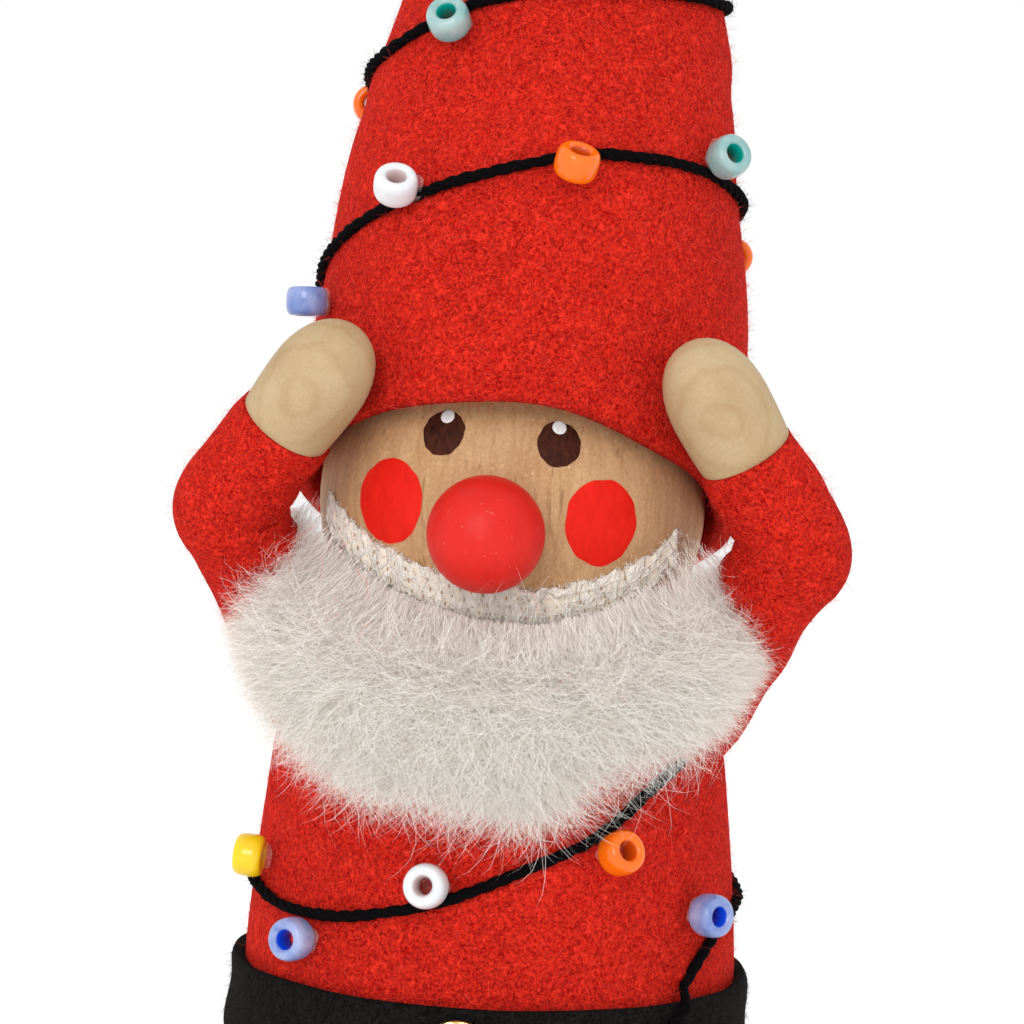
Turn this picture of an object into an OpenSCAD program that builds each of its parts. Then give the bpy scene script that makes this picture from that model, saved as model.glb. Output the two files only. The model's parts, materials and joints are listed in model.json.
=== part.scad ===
// Tomte gnome figurine: a felt-dressed wooden figure holding its hat,
// wound about with a yarn string of glass beads.
// The figure stands on z = 0 and faces -Y, so its left arm is on +X.

/* [Head] */
// Radius of the wooden head ball
head_r = 18; // [17.6:0.1:18.2]
// Height of the head's centre above the ground
head_z = 79; // [78.5:0.1:79.5]
// Lean of head and hat towards the figure's left, in degrees
head_lean = 3; // [2:0.5:4]
// Radius of the wooden nose ball
nose_r = 5; // [4.6:0.1:5.2]

/* [Clothes] */
// Thickness of the red wool felt
felt_t = 1.6; // [1.3:0.1:1.7]
// Slant of the hat's brim, high at the front, in degrees
brim_slant = 22; // [18:1:24]
// Height of the brim's front edge above the head's centre
brim_front = 8.1; // [7.5:0.1:9]
// Thickness of the black belt
belt_t = 1.3; // [1:0.1:1.5]
// Height of the belt's lower edge
belt_z = 29; // [28:0.5:30]
// Width of the belt
belt_w = 7.5; // [7:0.5:8]
// Radius of the brass belt stud
stud_r = 3.1; // [2.8:0.1:3.4]

/* [Arms] */
// Radius of a sleeve at the shoulder
shoulder_r = 5; // [4.6:0.1:5]
// Radius of a sleeve at the elbow
elbow_r = 4.75; // [4.5:0.05:4.8]
// Radius of a sleeve at the wrist
wrist_r = 4.5; // [4.4:0.05:4.6]
// Largest radius of a wooden hand
hand_r = 4.35; // [4.25:0.05:4.35]

/* [String of beads] */
// Diameter of the black yarn
cord_d = 1.1; // [1:0.1:1.2]
// Outer radius of a glass bead
bead_r = 1.9; // [1.7:0.1:2]
// Radius of a bead's hole
bead_hole_r = 0.7; // [0.6:0.05:0.8]
// Length of a bead along its hole
bead_l = 2.8; // [2.4:0.1:3]

/* [Feet] */
// Radius of a wooden foot
foot_r = 5.4; // [5:0.1:5.4]
// Half the distance between the feet
foot_x = 9.5; // [9:0.1:10.5]

/* [Hidden] */
$fn = 64;
FILM = 0.12;          // thickness of a coat of paint
GLUE = 0.05;          // glue line between pieces that stay together
GAP = 0.3;            // free space between pieces that move
BORE = 0.05;          // what a glued bore is larger than its dowel
SEAM = 0.08;          // step where a sleeve's tube meets its round end
BIG = 200;            // side of the boxes that cut away whole halves

// Hat outline: height above the head's centre, radius
HAT_OUTLINE = [[-12, 21.1], [0, 20.9], [10, 20.6], [24, 19.4], [37, 17.1], [47, 14.8],
               [60, 11.3], [75, 7.4], [90, 3.8], [97, 2.4], [100, 1.4], [101, 0]];
hat_top = 101;
hat_room = 97;        // height of the filling's tip inside the hat
brim_r = 20.6;

// Coat outline: height above the ground, radius
COAT_OUTLINE = [[7.2, 25.1], [29, 23.2], [37, 22.5], [46, 21.8], [56, 20.9], [60, 19.6],
                [63, 17.4], [64.5, 15.2]];
coat_hem = 7.2;
coat_top = 64.5;

function hat_r(u) = lookup(u, HAT_OUTLINE);
function coat_r(z) = lookup(z, COAT_OUTLINE);

// What lies on the coat is lifted by the belt where it crosses it
BELT_LIFT = [[belt_z - 2, 0], [belt_z - 0.4, belt_t + GLUE],
             [belt_z + belt_w + 0.4, belt_t + GLUE], [belt_z + belt_w + 2, 0]];
function dressed_r(z) = coat_r(z) + lookup(z, BELT_LIFT);

// Yarn routes: angle from the front towards the figure's left, height.
// The hat's heights are measured from the head's centre along the hat.
HAT_CORD = [[-175, 12], [-135, 14], [-85, 18.5], [-35, 24.5], [-10, 27.5], [15, 30], [35, 30.5],
            [55, 30.5], [85, 29.5], [125, 28.5], [175, 30], [225, 34.5], [275, 37.8], [305, 38.8],
            [321, 40.8], [335, 42.6], [365, 44.5], [425, 46.5], [485, 49], [545, 53], [605, 57],
            [665, 61], [725, 64], [785, 68], [845, 73], [905, 78], [965, 84]];
COAT_CORD = [[-545, 15], [-485, 15.5], [-425, 17.5], [-375, 20.5], [-345, 24.5], [-330, 29],
             [-317, 33.6], [-310, 36.2], [-301, 39.8], [-295, 41.2], [-285, 42.6], [-265, 43.8],
             [-225, 46], [-175, 47.5], [-125, 46.5], [-85, 44.5], [-63, 43], [-50, 42.3],
             [-32, 42.5], [-8, 44.5],
             [12, 48], [30, 51], [43, 55], [55, 57]];
CORD_STEP = 22;       // degrees from one ring of the yarn to the next
CORD_SIDES = 8;

// Beads: angle, height, tip of the hole away from the surface's normal, turn of
// that tip (0 up, 90 towards the figure's left), extra lift over the yarn, colour
HAT_BEADS = [
    [-59, 15.6, 80, 0, 0, "cornflowerblue"],
    [-31, 25.4, 45, 45, 0, "white"],
    [12, 28.3, 45, 10, 0.2, "orangered"],
    [57, 31.6, 25, -80, 0, "powderblue"],
    [122, 25.6, 60, 90, 0, "orangered"],
    [158, 31.4, 20, 0, 0.2, "cornflowerblue"],
    [203, 29.6, 60, 120, 0, "white"],
    [222, 36.8, 30, 200, 0.2, "gold"],
    [250, 36.6, 60, -90, 0, "orangered"],
    [333, 40.4, 20, 50, 0, "powderblue"],
    [385, 47.6, 20, 0, 0.2, "white"],
    [500, 46.4, 50, 90, 0, "gold"],
    [560, 56.4, 30, 0, 0.2, "orangered"],
    [690, 60.2, 60, -60, 0.2, "cornflowerblue"],
    [815, 73.2, 30, 60, 0.2, "powderblue"]];
COAT_BEADS = [
    [-60, 46, 30, -90, 0, "gold"],
    [-39.5, 40.2, 16, 90, 0, "cornflowerblue"],
    [-8.5, 46.3, 5, 0, 0, "white"],
    [31.5, 49.6, 16, 20, 0.6, "orangered"],
    [57, 43.6, 14, -90, 0.4, "cornflowerblue"],
    [41, 32.8, 30, 90, 1, "gold"],
    [-118, 43.4, 60, -90, 0, "orangered"],
    [-165, 51, 20, 0, 0, "white"],
    [-212, 42.8, 60, 180, 0, "powderblue"],
    [-10, 19, 25, 0, 0, "orangered"],
    [-75, 18.6, 50, -60, 0, "white"]];

// Beard outline, the +X half: sideways, height
BEARD_EDGE = [[0, 49.5], [6, 50.8], [12, 53.5], [17.5, 56.5], [21, 59], [23.6, 63], [24.4, 67.5],
              [23, 71.5], [19.5, 76], [16, 79.5], [14.6, 76.5], [11, 73.4], [5.5, 71.4], [0, 70.7]];
// Beard outside: radius about an upright axis behind the head's centre, height
BEARD_BARREL = [[0, 46], [27.6, 46], [29.2, 56], [30, 62], [29.6, 66], [27.3, 71], [25, 76], [23.6, 81],
                [0, 81]];
BEARD_AXIS_Y = 5.4;
BEARD_BACK_Y = -10.2;
BAND_W = 2.6;         // height of the stitched band
BAND_T = 0.7;         // thickness of the stitched band

// Arms, [left, right]: shoulder, elbow, middle of the hand
SHOULDERS = [[17, -1, 59], [-17, -1, 59]];
ELBOWS = [[26, -12.3, 76.3], [-23.8, -14.2, 77.6]];
HANDS = [[18.96, -17.34, 87.6], [-15.71, -19.1, 87.9]];
HAND_BASE = 4.6;      // from the middle of a hand down to its wrist
HAND_TIP = 6.4;       // from the middle of a hand up to its fingers' end
HAND_SWELL = 15;      // half length of the ellipse that shapes the wrist side
HAND_BLUNT = 2.15;    // exponent of the rounded tip: 2 is an ellipse, more is blunter
SOCKET = 2.2;    // depth of the wire's hole in a hand
STEM_R = 2.4;         // the hand's stem inside the sleeve
STEM_L = 3;
WIRE_R = 0.75;        // soft wire in the arms
WIRE_END = 1.2;       // how far each length of wire stops short of a bend
BORE_PAST = 3;        // how far the wire's bore runs past the shoulders
ARM_OUT = 40;         // further than an arm reaches beside the trunk

function unit(v) = v / norm(v);
function fore_dir(s) = unit(HANDS[s] - ELBOWS[s]);
function wrist(s) = HANDS[s] - HAND_BASE * fore_dir(s);

ARM_FORWARD = 2.6;    // how far a sleeve leans forward before it leaves the coat
ARM_INWARD = 4.5;     // how far inside the shoulder the raised sleeve reaches
ARM_LOW = 6.4;        // how far below the shoulder the lowered sleeve reaches
NECK_R = 3;
NECK_LOW = 50;        // lower end of the neck dowel
NECK_HIGH = 71;       // upper end of the neck dowel
CORE_TOP = 62.6;
PEG_R = 1;            // nose peg
FOOT_Z = 1.5;         // height of a foot's axis
FOOT_FRONT = 9.5;     // length of the foot's rounded toe
FOOT_Y = -24.5;       // where the toe's rounding starts
FOOT_DOWEL_R = 1.2;
SHANK_R = 0.6;
nose_at = [0, -21, -3.1];

// ---- placing ----

module on_head() translate([0, 0, head_z]) rotate([0, head_lean, 0]) children();

// Turns +Z to point from one place to another
module along(from, to) {
    d = to - from;
    translate(from) rotate([0, acos(d.z / norm(d)), atan2(d.y, d.x)]) children();
}

// Puts a child on the head, its +Z pointing outwards
module on_face(side, up) rotate([0, 0, side]) rotate([90 - up, 0, 0]) children();

// Solid of revolution with the outline's [height, radius] pairs, made smaller by inset
module turned(outline, inset, low, high) {
    inner = [for (p = outline) if (p[0] > low && p[0] < high) [max(p[1] - inset, 0), p[0]]];
    first = max(lookup(low, outline) - inset, 0);
    last = max(lookup(high, outline) - inset, 0);
    rotate_extrude() polygon(concat([[0, low], [first, low]], inner, [[last, high], [0, high]]));
}

// The half space above the hat's slanted brim, raised by lift
module above_brim(lift) {
    translate([0, -brim_r, brim_front + lift]) rotate([-brim_slant, 0, 0])
        translate([-BIG / 2, -BIG / 2, 0]) cube(BIG);
}

// The hole for the wire that runs from shoulder to shoulder
module wire_bore() {
    translate(SHOULDERS[1] - [BORE_PAST, 0, 0]) rotate([0, 90, 0])
        cylinder(h = SHOULDERS[0].x - SHOULDERS[1].x + 2 * BORE_PAST, r = WIRE_R + BORE, $fn = 24);
}

// ---- yarn and beads ----

// A point of the yarn's middle: route gives its height, radii is "hat" or "coat"
function cord_r(kind, h) = (kind == "hat" ? hat_r(h) : dressed_r(h)) + cord_d / 2 + GLUE;
function cord_at(kind, route, a) =
    let (h = lookup(a, route), r = cord_r(kind, h)) [r * sin(a), -r * cos(a), h];
function cord_ring(kind, route, a) =
    let (p = cord_at(kind, route, a),
         t = unit(cord_at(kind, route, a + 1) - cord_at(kind, route, a - 1)),
         b = unit(cross(t, [sin(a), -cos(a), 0])),
         n = cross(b, t))
    [for (k = [0:CORD_SIDES - 1]) let (w = 360 * k / CORD_SIDES)
        p + cord_d / 2 * (cos(w) * n + sin(w) * b)];

module yarn(kind, route) {
    first = route[0][0];
    last = route[len(route) - 1][0];
    count = ceil((last - first) / CORD_STEP);
    rings = [for (i = [0:count]) cord_ring(kind, route, first + (last - first) * i / count)];
    sides = [for (i = [0:count - 1], k = [0:CORD_SIDES - 1]) let (m = (k + 1) % CORD_SIDES)
        each let (a = i * CORD_SIDES, b = a + CORD_SIDES)
            [[a + k, a + m, b + m], [a + k, b + m, b + k]]];
    start = [for (k = [CORD_SIDES - 1:-1:0]) k];
    end = [for (k = [0:CORD_SIDES - 1]) count * CORD_SIDES + k];
    polyhedron([for (ring = rings, p = ring) p], concat([start], sides, [end]), convexity = 10);
}

// A bead standing on the origin's XY plane, its hole upright, before it is tipped
module glass_bead() {
    round = 0.75;
    rotate_extrude($fn = 40) difference() {
        union() {
            translate([bead_hole_r, -bead_l / 2 + round / 2])
                square([bead_r - bead_hole_r - round, bead_l - round]);
            translate([bead_r - 2 * round, -bead_l / 2 + round]) square([2 * round, bead_l - 2 * round]);
            for (z = [-1, 1]) translate([bead_r - round, z * (bead_l / 2 - round)]) circle(round);
            for (z = [-1, 1]) translate([bead_hole_r + round / 2, z * (bead_l / 2 - round / 2)])
                circle(round / 2);
        }
    }
}

// Puts a bead of the table on a surface of revolution with radius r and slope in degrees
module placed_bead(row, r, slope) {
    lift = abs(cos(row[2])) * bead_l / 2 + abs(sin(row[2])) * bead_r + GLUE + row[4];
    color(row[5]) rotate([0, 0, row[0]]) translate([0, -r, row[1]]) rotate([-slope, 0, 0])
        translate([0, -lift, 0]) rotate(row[3], [0, 1, 0]) rotate([90 - row[2], 0, 0]) glass_bead();
}

function slope_of(below, above) = atan((below - above) / 2);

module hat_bead(i) {
    row = HAT_BEADS[i];
    u = row[1];
    on_head() placed_bead(row, hat_r(u), slope_of(hat_r(u - 1), hat_r(u + 1)));
}

module coat_bead(i) {
    row = COAT_BEADS[i];
    z = row[1];
    placed_bead(row, dressed_r(z), slope_of(coat_r(z - 1), coat_r(z + 1)));
}

module hat_cord() color("black") on_head() yarn("hat", HAT_CORD);
module coat_cord() color("black") yarn("coat", COAT_CORD);

// ---- trunk ----

// Room that a swinging upper arm needs in the trunk: a round socket, open to the side and the top
module arm_room(s) {
    room = shoulder_r + GAP;
    back = room + 0.1;
    front = room + ARM_FORWARD;
    side = s == 0 ? 1 : -1;
    mirror([side == 1 ? 0 : 1, 0, 0]) translate(SHOULDERS[0]) {
        translate([0, back, 0]) rotate([90, 0, 0]) cylinder(h = back + front, r = room);
        translate([-ARM_INWARD, -front, 0]) cube([ARM_OUT, back + front, ARM_OUT]);
        translate([0, -front, -ARM_LOW]) cube([ARM_OUT, back + front, ARM_LOW + 1]);
    }
}

module shank_hole() {
    translate([0, 0, belt_z + belt_w / 2]) rotate([90, 0, 0])
        cylinder(h = 40, r = SHANK_R + BORE, $fn = 24);
}

module foot_dowel_at(s, clearance) {
    translate([s * foot_x, 0, FOOT_Z + 2.2]) rotate([90, 0, 0]) translate([0, 0, 14])
        cylinder(h = 12 + clearance, r = FOOT_DOWEL_R + clearance, $fn = 24);
}

module core_blank(grow) {
    rotate_extrude() polygon([
        [0, 0], [19.5, 0], [21.5 + grow, 2], [22.6 + grow, coat_hem],
        [coat_r(coat_hem + 0.8) - felt_t - 2 * GLUE, coat_hem + 0.8],
        [coat_r(56) - felt_t - GLUE, 56], [coat_r(60) - felt_t - GLUE, 60],
        [coat_r(63) - felt_t - 1, CORE_TOP], [0, CORE_TOP]]);
}

module body_core() {
    color("burlywood") difference() {
        core_blank(0);
        translate([0, 0, head_z]) sphere(head_r + GLUE);
        translate([0, 0, NECK_LOW]) cylinder(h = 20, r = NECK_R + BORE);
        for (s = [0, 1]) arm_room(s);
        wire_bore();
        shank_hole();
        for (s = [-1, 1]) foot_dowel_at(s, BORE);
    }
}

module neck_dowel() {
    color("tan") difference() {
        translate([0, 0, NECK_LOW]) cylinder(h = NECK_HIGH - NECK_LOW, r = NECK_R);
        wire_bore();
    }
}

module wire_core() {
    reach = SHOULDERS[0].x - shoulder_r - GAP - WIRE_END;
    color("silver") translate([-reach, SHOULDERS[0].y, SHOULDERS[0].z]) rotate([0, 90, 0])
        cylinder(h = 2 * reach, r = WIRE_R, $fn = 24);
}

module coat() {
    color("red") difference() {
        turned(COAT_OUTLINE, 0, coat_hem, coat_top);
        translate([0, 0, -1]) cylinder(h = coat_hem + 2, r = coat_r(coat_hem) - felt_t);
        rotate_extrude() polygon(concat([[0, coat_hem]],
            [for (p = COAT_OUTLINE) [p[1] - felt_t, p[0]]], [[coat_r(coat_top) - felt_t, 80], [0, 80]]));
        for (s = [0, 1]) arm_room(s);
        shank_hole();
    }
}

module belt() {
    low = coat_r(belt_z) + GLUE;
    high = coat_r(belt_z + belt_w) + GLUE;
    color("black") difference() {
        rotate_extrude() polygon([[low, belt_z], [low + belt_t, belt_z],
            [high + belt_t, belt_z + belt_w], [high, belt_z + belt_w]]);
        shank_hole();
    }
}

module belt_stud() {
    back = coat_r(belt_z) + belt_t + 2 * GLUE;
    dome_r = 7;
    rise = dome_r - sqrt(pow(dome_r, 2) - pow(stud_r, 2));
    color("goldenrod") translate([0, 0, belt_z + belt_w / 2]) rotate([90, 0, 0]) {
        translate([0, 0, back - 7]) cylinder(h = 7.2, r = SHANK_R, $fn = 24);
        translate([0, 0, back]) cylinder(h = 0.5, r = stud_r);
        intersection() {
            translate([0, 0, back + 0.5]) cylinder(h = 2, r = stud_r);
            translate([0, 0, back + 0.5 + rise - dome_r]) sphere(dome_r);
        }
    }
}

module foot_blank(s) {
    toe = [for (a = [0:6:90]) [foot_r * cos(a), FOOT_FRONT * sin(a)]];
    translate([s * foot_x, FOOT_Y, FOOT_Z]) rotate([90, 0, 0])
        rotate_extrude() polygon(concat([[0, -9], [foot_r, -9]], toe));
}

module foot(s) {
    color("burlywood") difference() {
        foot_blank(s);
        core_blank(GLUE);
        translate([-BIG / 2, -BIG / 2, -BIG]) cube(BIG);
        foot_dowel_at(s, BORE);
    }
}

module foot_left() foot(1);
module foot_right() foot(-1);
module foot_dowels() color("tan") for (s = [-1, 1]) foot_dowel_at(s, 0);

// ---- head ----

module nose_peg_at(clearance) {
    translate([0, -23, nose_at.z]) rotate([-90, 0, 0])
        cylinder(h = 13 + clearance, r = PEG_R + clearance, $fn = 24);
}

module head() {
    color("wheat") difference() {
        on_head() difference() {
            sphere(head_r, $fn = 96);
            nose_peg_at(BORE);
        }
        translate([0, 0, 50]) cylinder(h = NECK_HIGH - 50 + BORE, r = NECK_R + BORE);
    }
}

module nose() {
    color("red") on_head() difference() {
        translate(nose_at) rotate([90, 0, 0]) sphere(nose_r);
        rotate([90, 0, 0]) sphere(head_r + GLUE, $fn = 96);
        nose_peg_at(BORE);
    }
}

module nose_peg() color("tan") on_head() nose_peg_at(0);

// A spot of paint on the head, over what lies below it
module paint_spot(side, up, r, below) {
    on_head() intersection() {
        difference() {
            sphere(head_r + below + FILM, $fn = 96);
            sphere(head_r + below, $fn = 96);
        }
        on_face(side, up) translate([0, 0, head_r / 2]) cylinder(h = head_r, r = r, $fn = 48);
    }
}

EYE_SIDE = 17;
EYE_UP = 16.8;
EYE_R = 1.9;
GLINT_UP = 4.6;
GLINT_R = 0.6;
CHEEK_SIDE = 31.5;
CHEEK_UP = -3.7;
CHEEK_R = 3.65;
module eye_left() color("saddlebrown") paint_spot(EYE_SIDE, EYE_UP, EYE_R, GLUE);
module eye_right() color("saddlebrown") paint_spot(-EYE_SIDE, EYE_UP, EYE_R, GLUE);
module eye_glints() {
    color("white") for (s = [-1, 1]) paint_spot(s * EYE_SIDE, EYE_UP + GLINT_UP, GLINT_R, GLUE + FILM + GLUE);
}
module cheek_left() color("red") paint_spot(CHEEK_SIDE, CHEEK_UP, CHEEK_R, GLUE);
module cheek_right() color("red") paint_spot(-CHEEK_SIDE, CHEEK_UP, CHEEK_R, GLUE);

module hat() {
    color("red") on_head() intersection() {
        difference() {
            turned(HAT_OUTLINE, 0, -12, hat_top);
            turned(HAT_OUTLINE, felt_t, -12, hat_room + 0.2);
        }
        above_brim(0);
    }
}

module hat_filling() {
    color("ivory") on_head() intersection() {
        difference() {
            turned(HAT_OUTLINE, felt_t + GLUE, -6, hat_room);
            sphere(head_r + GLUE, $fn = 96);
        }
        above_brim(5);
    }
}

// ---- beard ----

module beard_front(edge) {
    outline = concat(edge, [for (i = [len(edge) - 2:-1:1]) [-edge[i][0], edge[i][1]]]);
    rotate([90, 0, 0]) linear_extrude(height = 40) polygon(outline);
}

// What the front of a swinging upper arm passes through, beside the beard
module arm_sweep(s) {
    reach = ELBOWS[s] - SHOULDERS[s];
    slope = -reach.y / norm([reach.x, reach.z]);
    room = (shoulder_r + GAP) * sqrt(1 + slope * slope);
    depth = 30;
    translate(SHOULDERS[s]) rotate([0, atan2(reach.x, reach.z), 0]) mirror([s, 0, 0]) difference() {
        translate([-shoulder_r - GAP, -depth, -ARM_LOW - 2]) cube([ARM_OUT, depth, ARM_OUT]);
        translate([0, -room, 0]) rotate([90, 0, 0]) cylinder(h = depth, r1 = 0, r2 = depth / slope);
    }
}

module beard() {
    color("white") intersection() {
        difference() {
            translate([0, BEARD_BACK_Y, 0]) beard_front(BEARD_EDGE);
            on_head() sphere(head_r + BAND_T + 3 * GLUE, $fn = 96);
            on_head() translate(nose_at) sphere(nose_r + GLUE);
            turned(COAT_OUTLINE, -GLUE, 40, coat_top);
            for (s = [0, 1]) arm_sweep(s);
        }
        translate([0, BEARD_AXIS_Y, 0]) rotate_extrude() polygon(BEARD_BARREL);
    }
}

module beard_band() {
    last = len(BEARD_EDGE) - 1;
    side = [for (i = [9:last]) BEARD_EDGE[i]];
    top = concat(side, [for (i = [last - 9 - 1:-1:0]) [-side[i].x, side[i].y]]);
    low = [for (i = [len(top) - 1:-1:0]) top[i] - [0, BAND_W]];
    color("oldlace") intersection() {
        on_head() difference() {
            sphere(head_r + BAND_T + GLUE, $fn = 96);
            sphere(head_r + GLUE, $fn = 96);
        }
        translate([0, -4, 0]) rotate([90, 0, 0]) linear_extrude(height = 30) polygon(concat(top, low));
    }
}

// ---- arms ----

// The forearm's own space, made larger by grow
module fore_space(s, grow) {
    translate(ELBOWS[s]) sphere(elbow_r + grow);
    along(ELBOWS[s], wrist(s))
        cylinder(h = norm(wrist(s) - ELBOWS[s]), r1 = elbow_r + grow - SEAM, r2 = wrist_r + grow);
}

module sleeve_upper(s) {
    reach = norm(ELBOWS[s] - SHOULDERS[s]);
    color("red") difference() {
        union() {
            translate(SHOULDERS[s]) sphere(shoulder_r);
            along(SHOULDERS[s], ELBOWS[s])
                cylinder(h = reach, r1 = shoulder_r - SEAM, r2 = elbow_r + SEAM);
        }
        fore_space(s, GAP);
        along(SHOULDERS[s], ELBOWS[s]) cylinder(h = reach, r = WIRE_R + BORE, $fn = 24);
    }
}

module wire_upper(s) {
    reach = norm(ELBOWS[s] - SHOULDERS[s]);
    color("silver") along(SHOULDERS[s], ELBOWS[s]) translate([0, 0, WIRE_END])
        cylinder(h = reach - elbow_r - GAP - WIRE_END, r = WIRE_R, $fn = 24);
}

module sleeve_fore(s) {
    reach = norm(wrist(s) - ELBOWS[s]);
    color("red") difference() {
        fore_space(s, 0);
        along(ELBOWS[s], wrist(s)) {
            cylinder(h = reach, r = WIRE_R + BORE, $fn = 24);
            translate([0, 0, reach - STEM_L - BORE]) cylinder(h = STEM_L + 1, r = STEM_R + BORE);
        }
    }
}

module wire_fore(s) {
    reach = norm(wrist(s) - ELBOWS[s]);
    color("silver") along(ELBOWS[s], wrist(s)) translate([0, 0, WIRE_END])
        cylinder(h = reach + 2 - WIRE_END, r = WIRE_R, $fn = 24);
}

module hand(s) {
    steps = 10;
    heel = [for (i = [0:steps]) let (z = -HAND_BASE + HAND_BASE * i / steps)
        [hand_r * sqrt(1 - pow(z / HAND_SWELL, 2)), z + GLUE * (1 - i / steps)]];
    tip = [for (a = [9:9:90])
        [hand_r * pow(cos(a), 2 / HAND_BLUNT), HAND_TIP * pow(sin(a), 2 / HAND_BLUNT)]];
    color("wheat") along(HANDS[s], HANDS[s] + fore_dir(s)) difference() {
        union() {
            rotate_extrude() polygon(concat([[0, -HAND_BASE + GLUE]], heel, tip));
            translate([0, 0, -HAND_BASE - STEM_L]) cylinder(h = STEM_L + 1, r = STEM_R);
        }
        translate([0, 0, -HAND_BASE - STEM_L - 1])
            cylinder(h = STEM_L + 1 + SOCKET, r = WIRE_R + BORE, $fn = 24);
    }
}

module sleeve_upper_left() sleeve_upper(0);
module sleeve_upper_right() sleeve_upper(1);
module wire_upper_left() wire_upper(0);
module wire_upper_right() wire_upper(1);
module sleeve_fore_left() sleeve_fore(0);
module sleeve_fore_right() sleeve_fore(1);
module wire_fore_left() wire_fore(0);
module wire_fore_right() wire_fore(1);
module hand_left() hand(0);
module hand_right() hand(1);

// ---- the figure ----

body_core();
neck_dowel();
head();
nose();
nose_peg();
eye_left();
eye_right();
eye_glints();
cheek_left();
cheek_right();
hat();
hat_filling();
hat_cord();
beard();
beard_band();
coat();
belt();
belt_stud();
coat_cord();
foot_left();
foot_right();
foot_dowels();
wire_core();
sleeve_upper_left();
sleeve_upper_right();
wire_upper_left();
wire_upper_right();
sleeve_fore_left();
sleeve_fore_right();
wire_fore_left();
wire_fore_right();
hand_left();
hand_right();
for (i = [1:len(HAT_BEADS)])
    hat_bead(i - 1);
for (i = [1:len(COAT_BEADS)])
    coat_bead(i - 1);
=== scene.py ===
"""Tomte gnome figurine: a felt-dressed wooden figure holding its hat, wound with a string of beads.

The figure faces -Y, so its left arm is on +X. Lengths are in metres, made from millimetres with MM.
"""
import json
import math

import bmesh
import bpy
import numpy as np
from mathutils import Matrix, Vector


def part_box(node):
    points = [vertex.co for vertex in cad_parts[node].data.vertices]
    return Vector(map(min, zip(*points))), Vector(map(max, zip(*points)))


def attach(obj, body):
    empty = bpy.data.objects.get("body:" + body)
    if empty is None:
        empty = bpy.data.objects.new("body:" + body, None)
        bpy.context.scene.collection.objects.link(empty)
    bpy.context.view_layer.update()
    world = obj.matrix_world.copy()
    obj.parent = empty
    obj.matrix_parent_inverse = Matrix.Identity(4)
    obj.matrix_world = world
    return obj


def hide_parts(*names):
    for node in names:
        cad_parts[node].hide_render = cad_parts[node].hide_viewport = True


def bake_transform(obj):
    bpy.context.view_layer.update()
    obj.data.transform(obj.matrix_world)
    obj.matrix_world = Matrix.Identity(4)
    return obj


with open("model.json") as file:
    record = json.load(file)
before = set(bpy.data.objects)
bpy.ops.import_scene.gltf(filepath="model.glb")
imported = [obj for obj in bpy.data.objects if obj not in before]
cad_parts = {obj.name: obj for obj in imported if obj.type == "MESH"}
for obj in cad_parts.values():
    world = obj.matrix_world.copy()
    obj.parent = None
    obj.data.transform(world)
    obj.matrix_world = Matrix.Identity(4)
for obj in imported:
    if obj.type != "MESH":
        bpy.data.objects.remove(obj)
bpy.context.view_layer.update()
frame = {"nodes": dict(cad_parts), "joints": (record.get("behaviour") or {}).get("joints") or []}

MM = 0.001
NODES = frame["nodes"]

# ---------------------------------------------------------------- places read from the frame


def span(node):
    low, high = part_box(node)
    return np.array(low), np.array(high)


head_low, head_high = span("head")
HEAD_R = float(head_high[0] - head_low[0]) / 2
HEAD_AT = np.array([0.0, 0.0, float(head_high[2]) - HEAD_R])
LEAN = math.radians(3)
FELT = 1.6 * MM
BRIM_FRONT = 8.1 * MM
BRIM_DROP = math.tan(math.radians(22))
BELT_LOW, BELT_HIGH = (float(c[2]) for c in span("belt"))
BELT_T = 1.35 * MM
HEM = float(span("coat")[0][2])

# The clothes' outlines: height, radius, in millimetres
HAT_OUTLINE = [(-12, 21.1), (0, 20.9), (10, 20.6), (24, 19.4), (37, 17.1), (47, 14.8), (60, 11.3),
               (75, 7.4), (90, 3.8), (97, 2.4), (100, 1.4), (101, 0)]
COAT_OUTLINE = [(7.2, 25.1), (29, 23.2), (37, 22.5), (46, 21.8), (56, 20.9), (60, 19.6), (63, 17.4),
                (64.5, 15.2)]
HAT_TOP = 101 * MM

# The yarn's routes: degrees from the front towards the figure's left, height in millimetres
HAT_CORD = [(-175, 12), (-135, 14), (-85, 18.5), (-35, 24.5), (-10, 27.5), (15, 30), (35, 30.5),
            (55, 30.5), (85, 29.5), (125, 28.5), (175, 30), (225, 34.5), (275, 37.8), (305, 38.8),
            (321, 40.8), (335, 42.6), (365, 44.5), (425, 46.5), (485, 49), (545, 53), (605, 57), (665, 61),
            (725, 64), (785, 68), (845, 73), (905, 78), (965, 84)]
COAT_CORD = [(-545, 15), (-485, 15.5), (-425, 17.5), (-375, 20.5), (-345, 24.5), (-330, 29),
             (-317, 33.6), (-310, 36.2), (-301, 39.8), (-295, 41.2), (-285, 42.6), (-265, 43.8),
             (-225, 46), (-175, 47.5), (-125, 46.5), (-85, 44.5), (-63, 43), (-50, 42.3), (-32, 42.5),
             (-8, 44.5), (12, 48), (30, 51), (43, 55), (55, 57)]
CORD_D = 1.1 * MM

# The arms: joint places from the record, the wooden hand beyond
JOINTS = {j["name"]: np.array(j["pos_m"]) for j in frame["joints"]}
HANDS = {"left": (18.96, -17.34, 87.6), "right": (-15.71, -19.1, 87.9)}
HAND_BASE = 4.6 * MM


# ---------------------------------------------------------------- materials


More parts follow.
